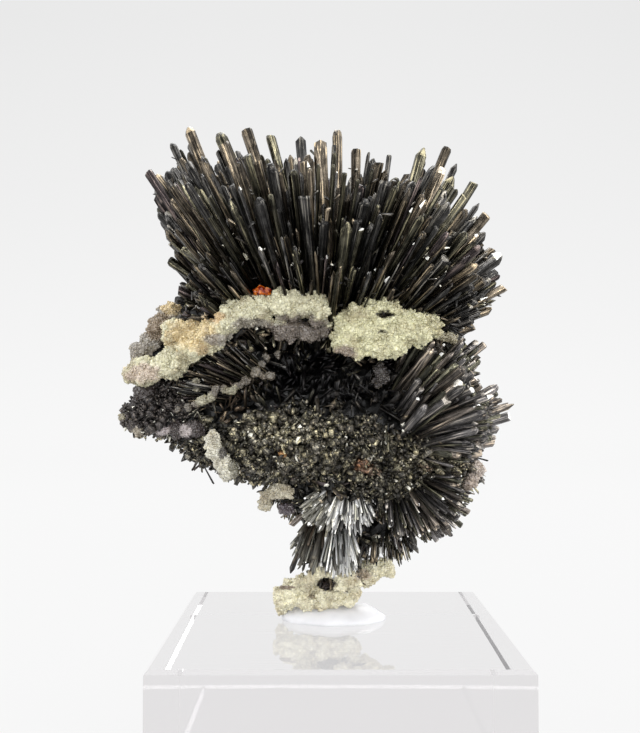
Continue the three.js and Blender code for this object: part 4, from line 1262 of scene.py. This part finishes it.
def acrylicFinish():
    finish, nodes, links, shader = newFinish("clearAcrylic")
    where = addNode(nodes, "ShaderNodeTexCoord").outputs["Object"]
    wipe = addNode(nodes, "ShaderNodeTexNoise", Scale=60.0, Detail=4.0)
    links.new(where, wipe.inputs["Vector"])
    links.new(ramp(nodes, links, wipe.outputs["Fac"], [(0.45, (0, 0, 0)), (0.8, (0.03, 0.03, 0.03))]),
              shader.inputs["Roughness"])
    shader.inputs["Base Color"].default_value = (0.99, 0.99, 0.99, 1)
    shader.inputs["Transmission Weight"].default_value = 1
    shader.inputs["IOR"].default_value = 1.49
    haze = addNode(nodes, "ShaderNodeVolumeAbsorption", Density=6.5)
    haze.inputs["Color"].default_value = (0.36, 0.3, 0.33, 1)
    links.new(haze.outputs["Volume"], nodes["Material Output"].inputs["Volume"])
    return finish


block = frame["nodes"]["display_block"]
block.data.materials.clear()
block.data.materials.append(acrylicFinish())
print("block and putty ready")

# Studio: a floor that sweeps up behind, soft lights and the camera. The sweep itself is near black and glows
# as painted light, brighter on the floor than up the backdrop.
studio = {
    "floor": {"size": 1.6, "back": 0.55, "rise": 0.9, "bend": 0.22, "colour": (0.02, 0.02, 0.02),
              "paintedGlow": grey((0.02, 0.89), (0.4, 0.775))},
    "world": (0.9, 0.92, 0.95), "worldStrength": 0.24,
    "lights": [
        {"name": "softTop", "at": (0.05, -0.05, 0.7), "aim": (0, 0, 0.05), "size": 0.9, "watts": 6},
        {"name": "panelLeft", "at": (-0.6, -0.1, 0.3), "aim": (0, 0, 0.06), "size": 0.8, "watts": 5},
        {"name": "panelRight", "at": (0.6, -0.05, 0.28), "aim": (0, 0, 0.06), "size": 0.8, "watts": 6},
        {"name": "frontFill", "at": (0.05, -0.55, 0.12), "aim": (0, 0, 0.03), "size": 0.35, "watts": 2.6},
        {"name": "backGlow", "at": (0, 0.4, 0.5), "aim": (0, 0.6, 0.1), "size": 0.5, "watts": 4.0},
    ],
}


def studioFloor():
    rules = studio["floor"]
    letGo()
    bpy.ops.mesh.primitive_plane_add(size=rules["size"], location=(0, rules["back"] - rules["size"] / 2, 0))
    floor = bpy.context.object
    bpy.ops.object.transform_apply(location=True, rotation=True, scale=True)
    back = rules["back"] - 1e-4
    pickPoints(floor, lambda at: at.y > back)
    steps = 12
    for i in range(steps):
        turn = (i + 0.5) / steps * math.pi / 2
        reach = rules["bend"] * math.pi / 2 / steps
        bpy.ops.mesh.extrude_region_move(
            TRANSFORM_OT_translate={"value": (0, reach * math.cos(turn), reach * math.sin(turn))})
    bpy.ops.mesh.extrude_region_move(TRANSFORM_OT_translate={"value": (0, 0, rules["rise"])})
    bpy.ops.object.mode_set(mode="OBJECT")
    bpy.ops.object.shade_smooth()
    finish, nodes, links, shader = newFinish("glowingSweep")
    shader.inputs["Base Color"].default_value = (*rules["colour"], 1)
    shader.inputs["Roughness"].default_value = 1
    shader.inputs["Specular IOR Level"].default_value = 0
    split = addNode(nodes, "ShaderNodeSeparateXYZ")
    links.new(addNode(nodes, "ShaderNodeTexCoord").outputs["Object"], split.inputs["Vector"])
    # painted light: the sweep's glow, stronger low down and weaker higher up
    links.new(ramp(nodes, links, split.outputs["Z"], rules["paintedGlow"]), shader.inputs["Emission Color"])
    shader.inputs["Emission Strength"].default_value = 1
    floor.data.materials.append(finish)
    floor.name = "sweep"


def studioLights():
    world = bpy.data.worlds.new("studio") if bpy.context.scene.world is None else bpy.context.scene.world
    bpy.context.scene.world = world
    world.use_nodes = True
    background = world.node_tree.nodes["Background"]
    background.inputs["Color"].default_value = (*studio["world"], 1)
    background.inputs["Strength"].default_value = studio["worldStrength"]
    for rules in studio["lights"]:
        lamp = bpy.data.lights.new(rules["name"], "AREA")
        lamp.size = rules["size"]
        lamp.energy = rules["watts"]
        holder = bpy.data.objects.new(rules["name"], lamp)
        holder.location = rules["at"]
        aim = Vector(rules["aim"]) - Vector(rules["at"])
        holder.rotation_euler = aim.to_track_quat("-Z", "Y").to_euler()
        bpy.context.collection.objects.link(holder)


def studioCamera():
    photo = {"width": 640, "height": 733, "focal": 980}
    camera = bpy.data.cameras.new("camera")
    camera.sensor_fit = "VERTICAL"
    camera.sensor_height = 36
    camera.lens = photo["focal"] / photo["height"] * 36
    camera.clip_start = 0.01
    holder = bpy.data.objects.new("camera", camera)
    holder.location = (eye["across"] * mm, -eye["away"] * mm, eye["up"] * mm)
    horizonBelowMiddle = 27.5
    pitch = math.atan(horizonBelowMiddle / photo["focal"])
    holder.rotation_euler = (math.pi / 2 + pitch, 0, 0)
    bpy.context.collection.objects.link(holder)
    bpy.context.scene.camera = holder


studioFloor()
studioLights()
studioCamera()
bpy.context.scene.view_settings.view_transform = "Standard"
total = 0
for piece in bpy.context.scene.objects:
    if piece.type == "MESH" and piece.name not in frame["nodes"]:
        triangles = sum(len(face.vertices) - 2 for face in piece.data.polygons)
        total += triangles
        print(piece.name, triangles, "triangles")
print("all pieces", total, "triangles")
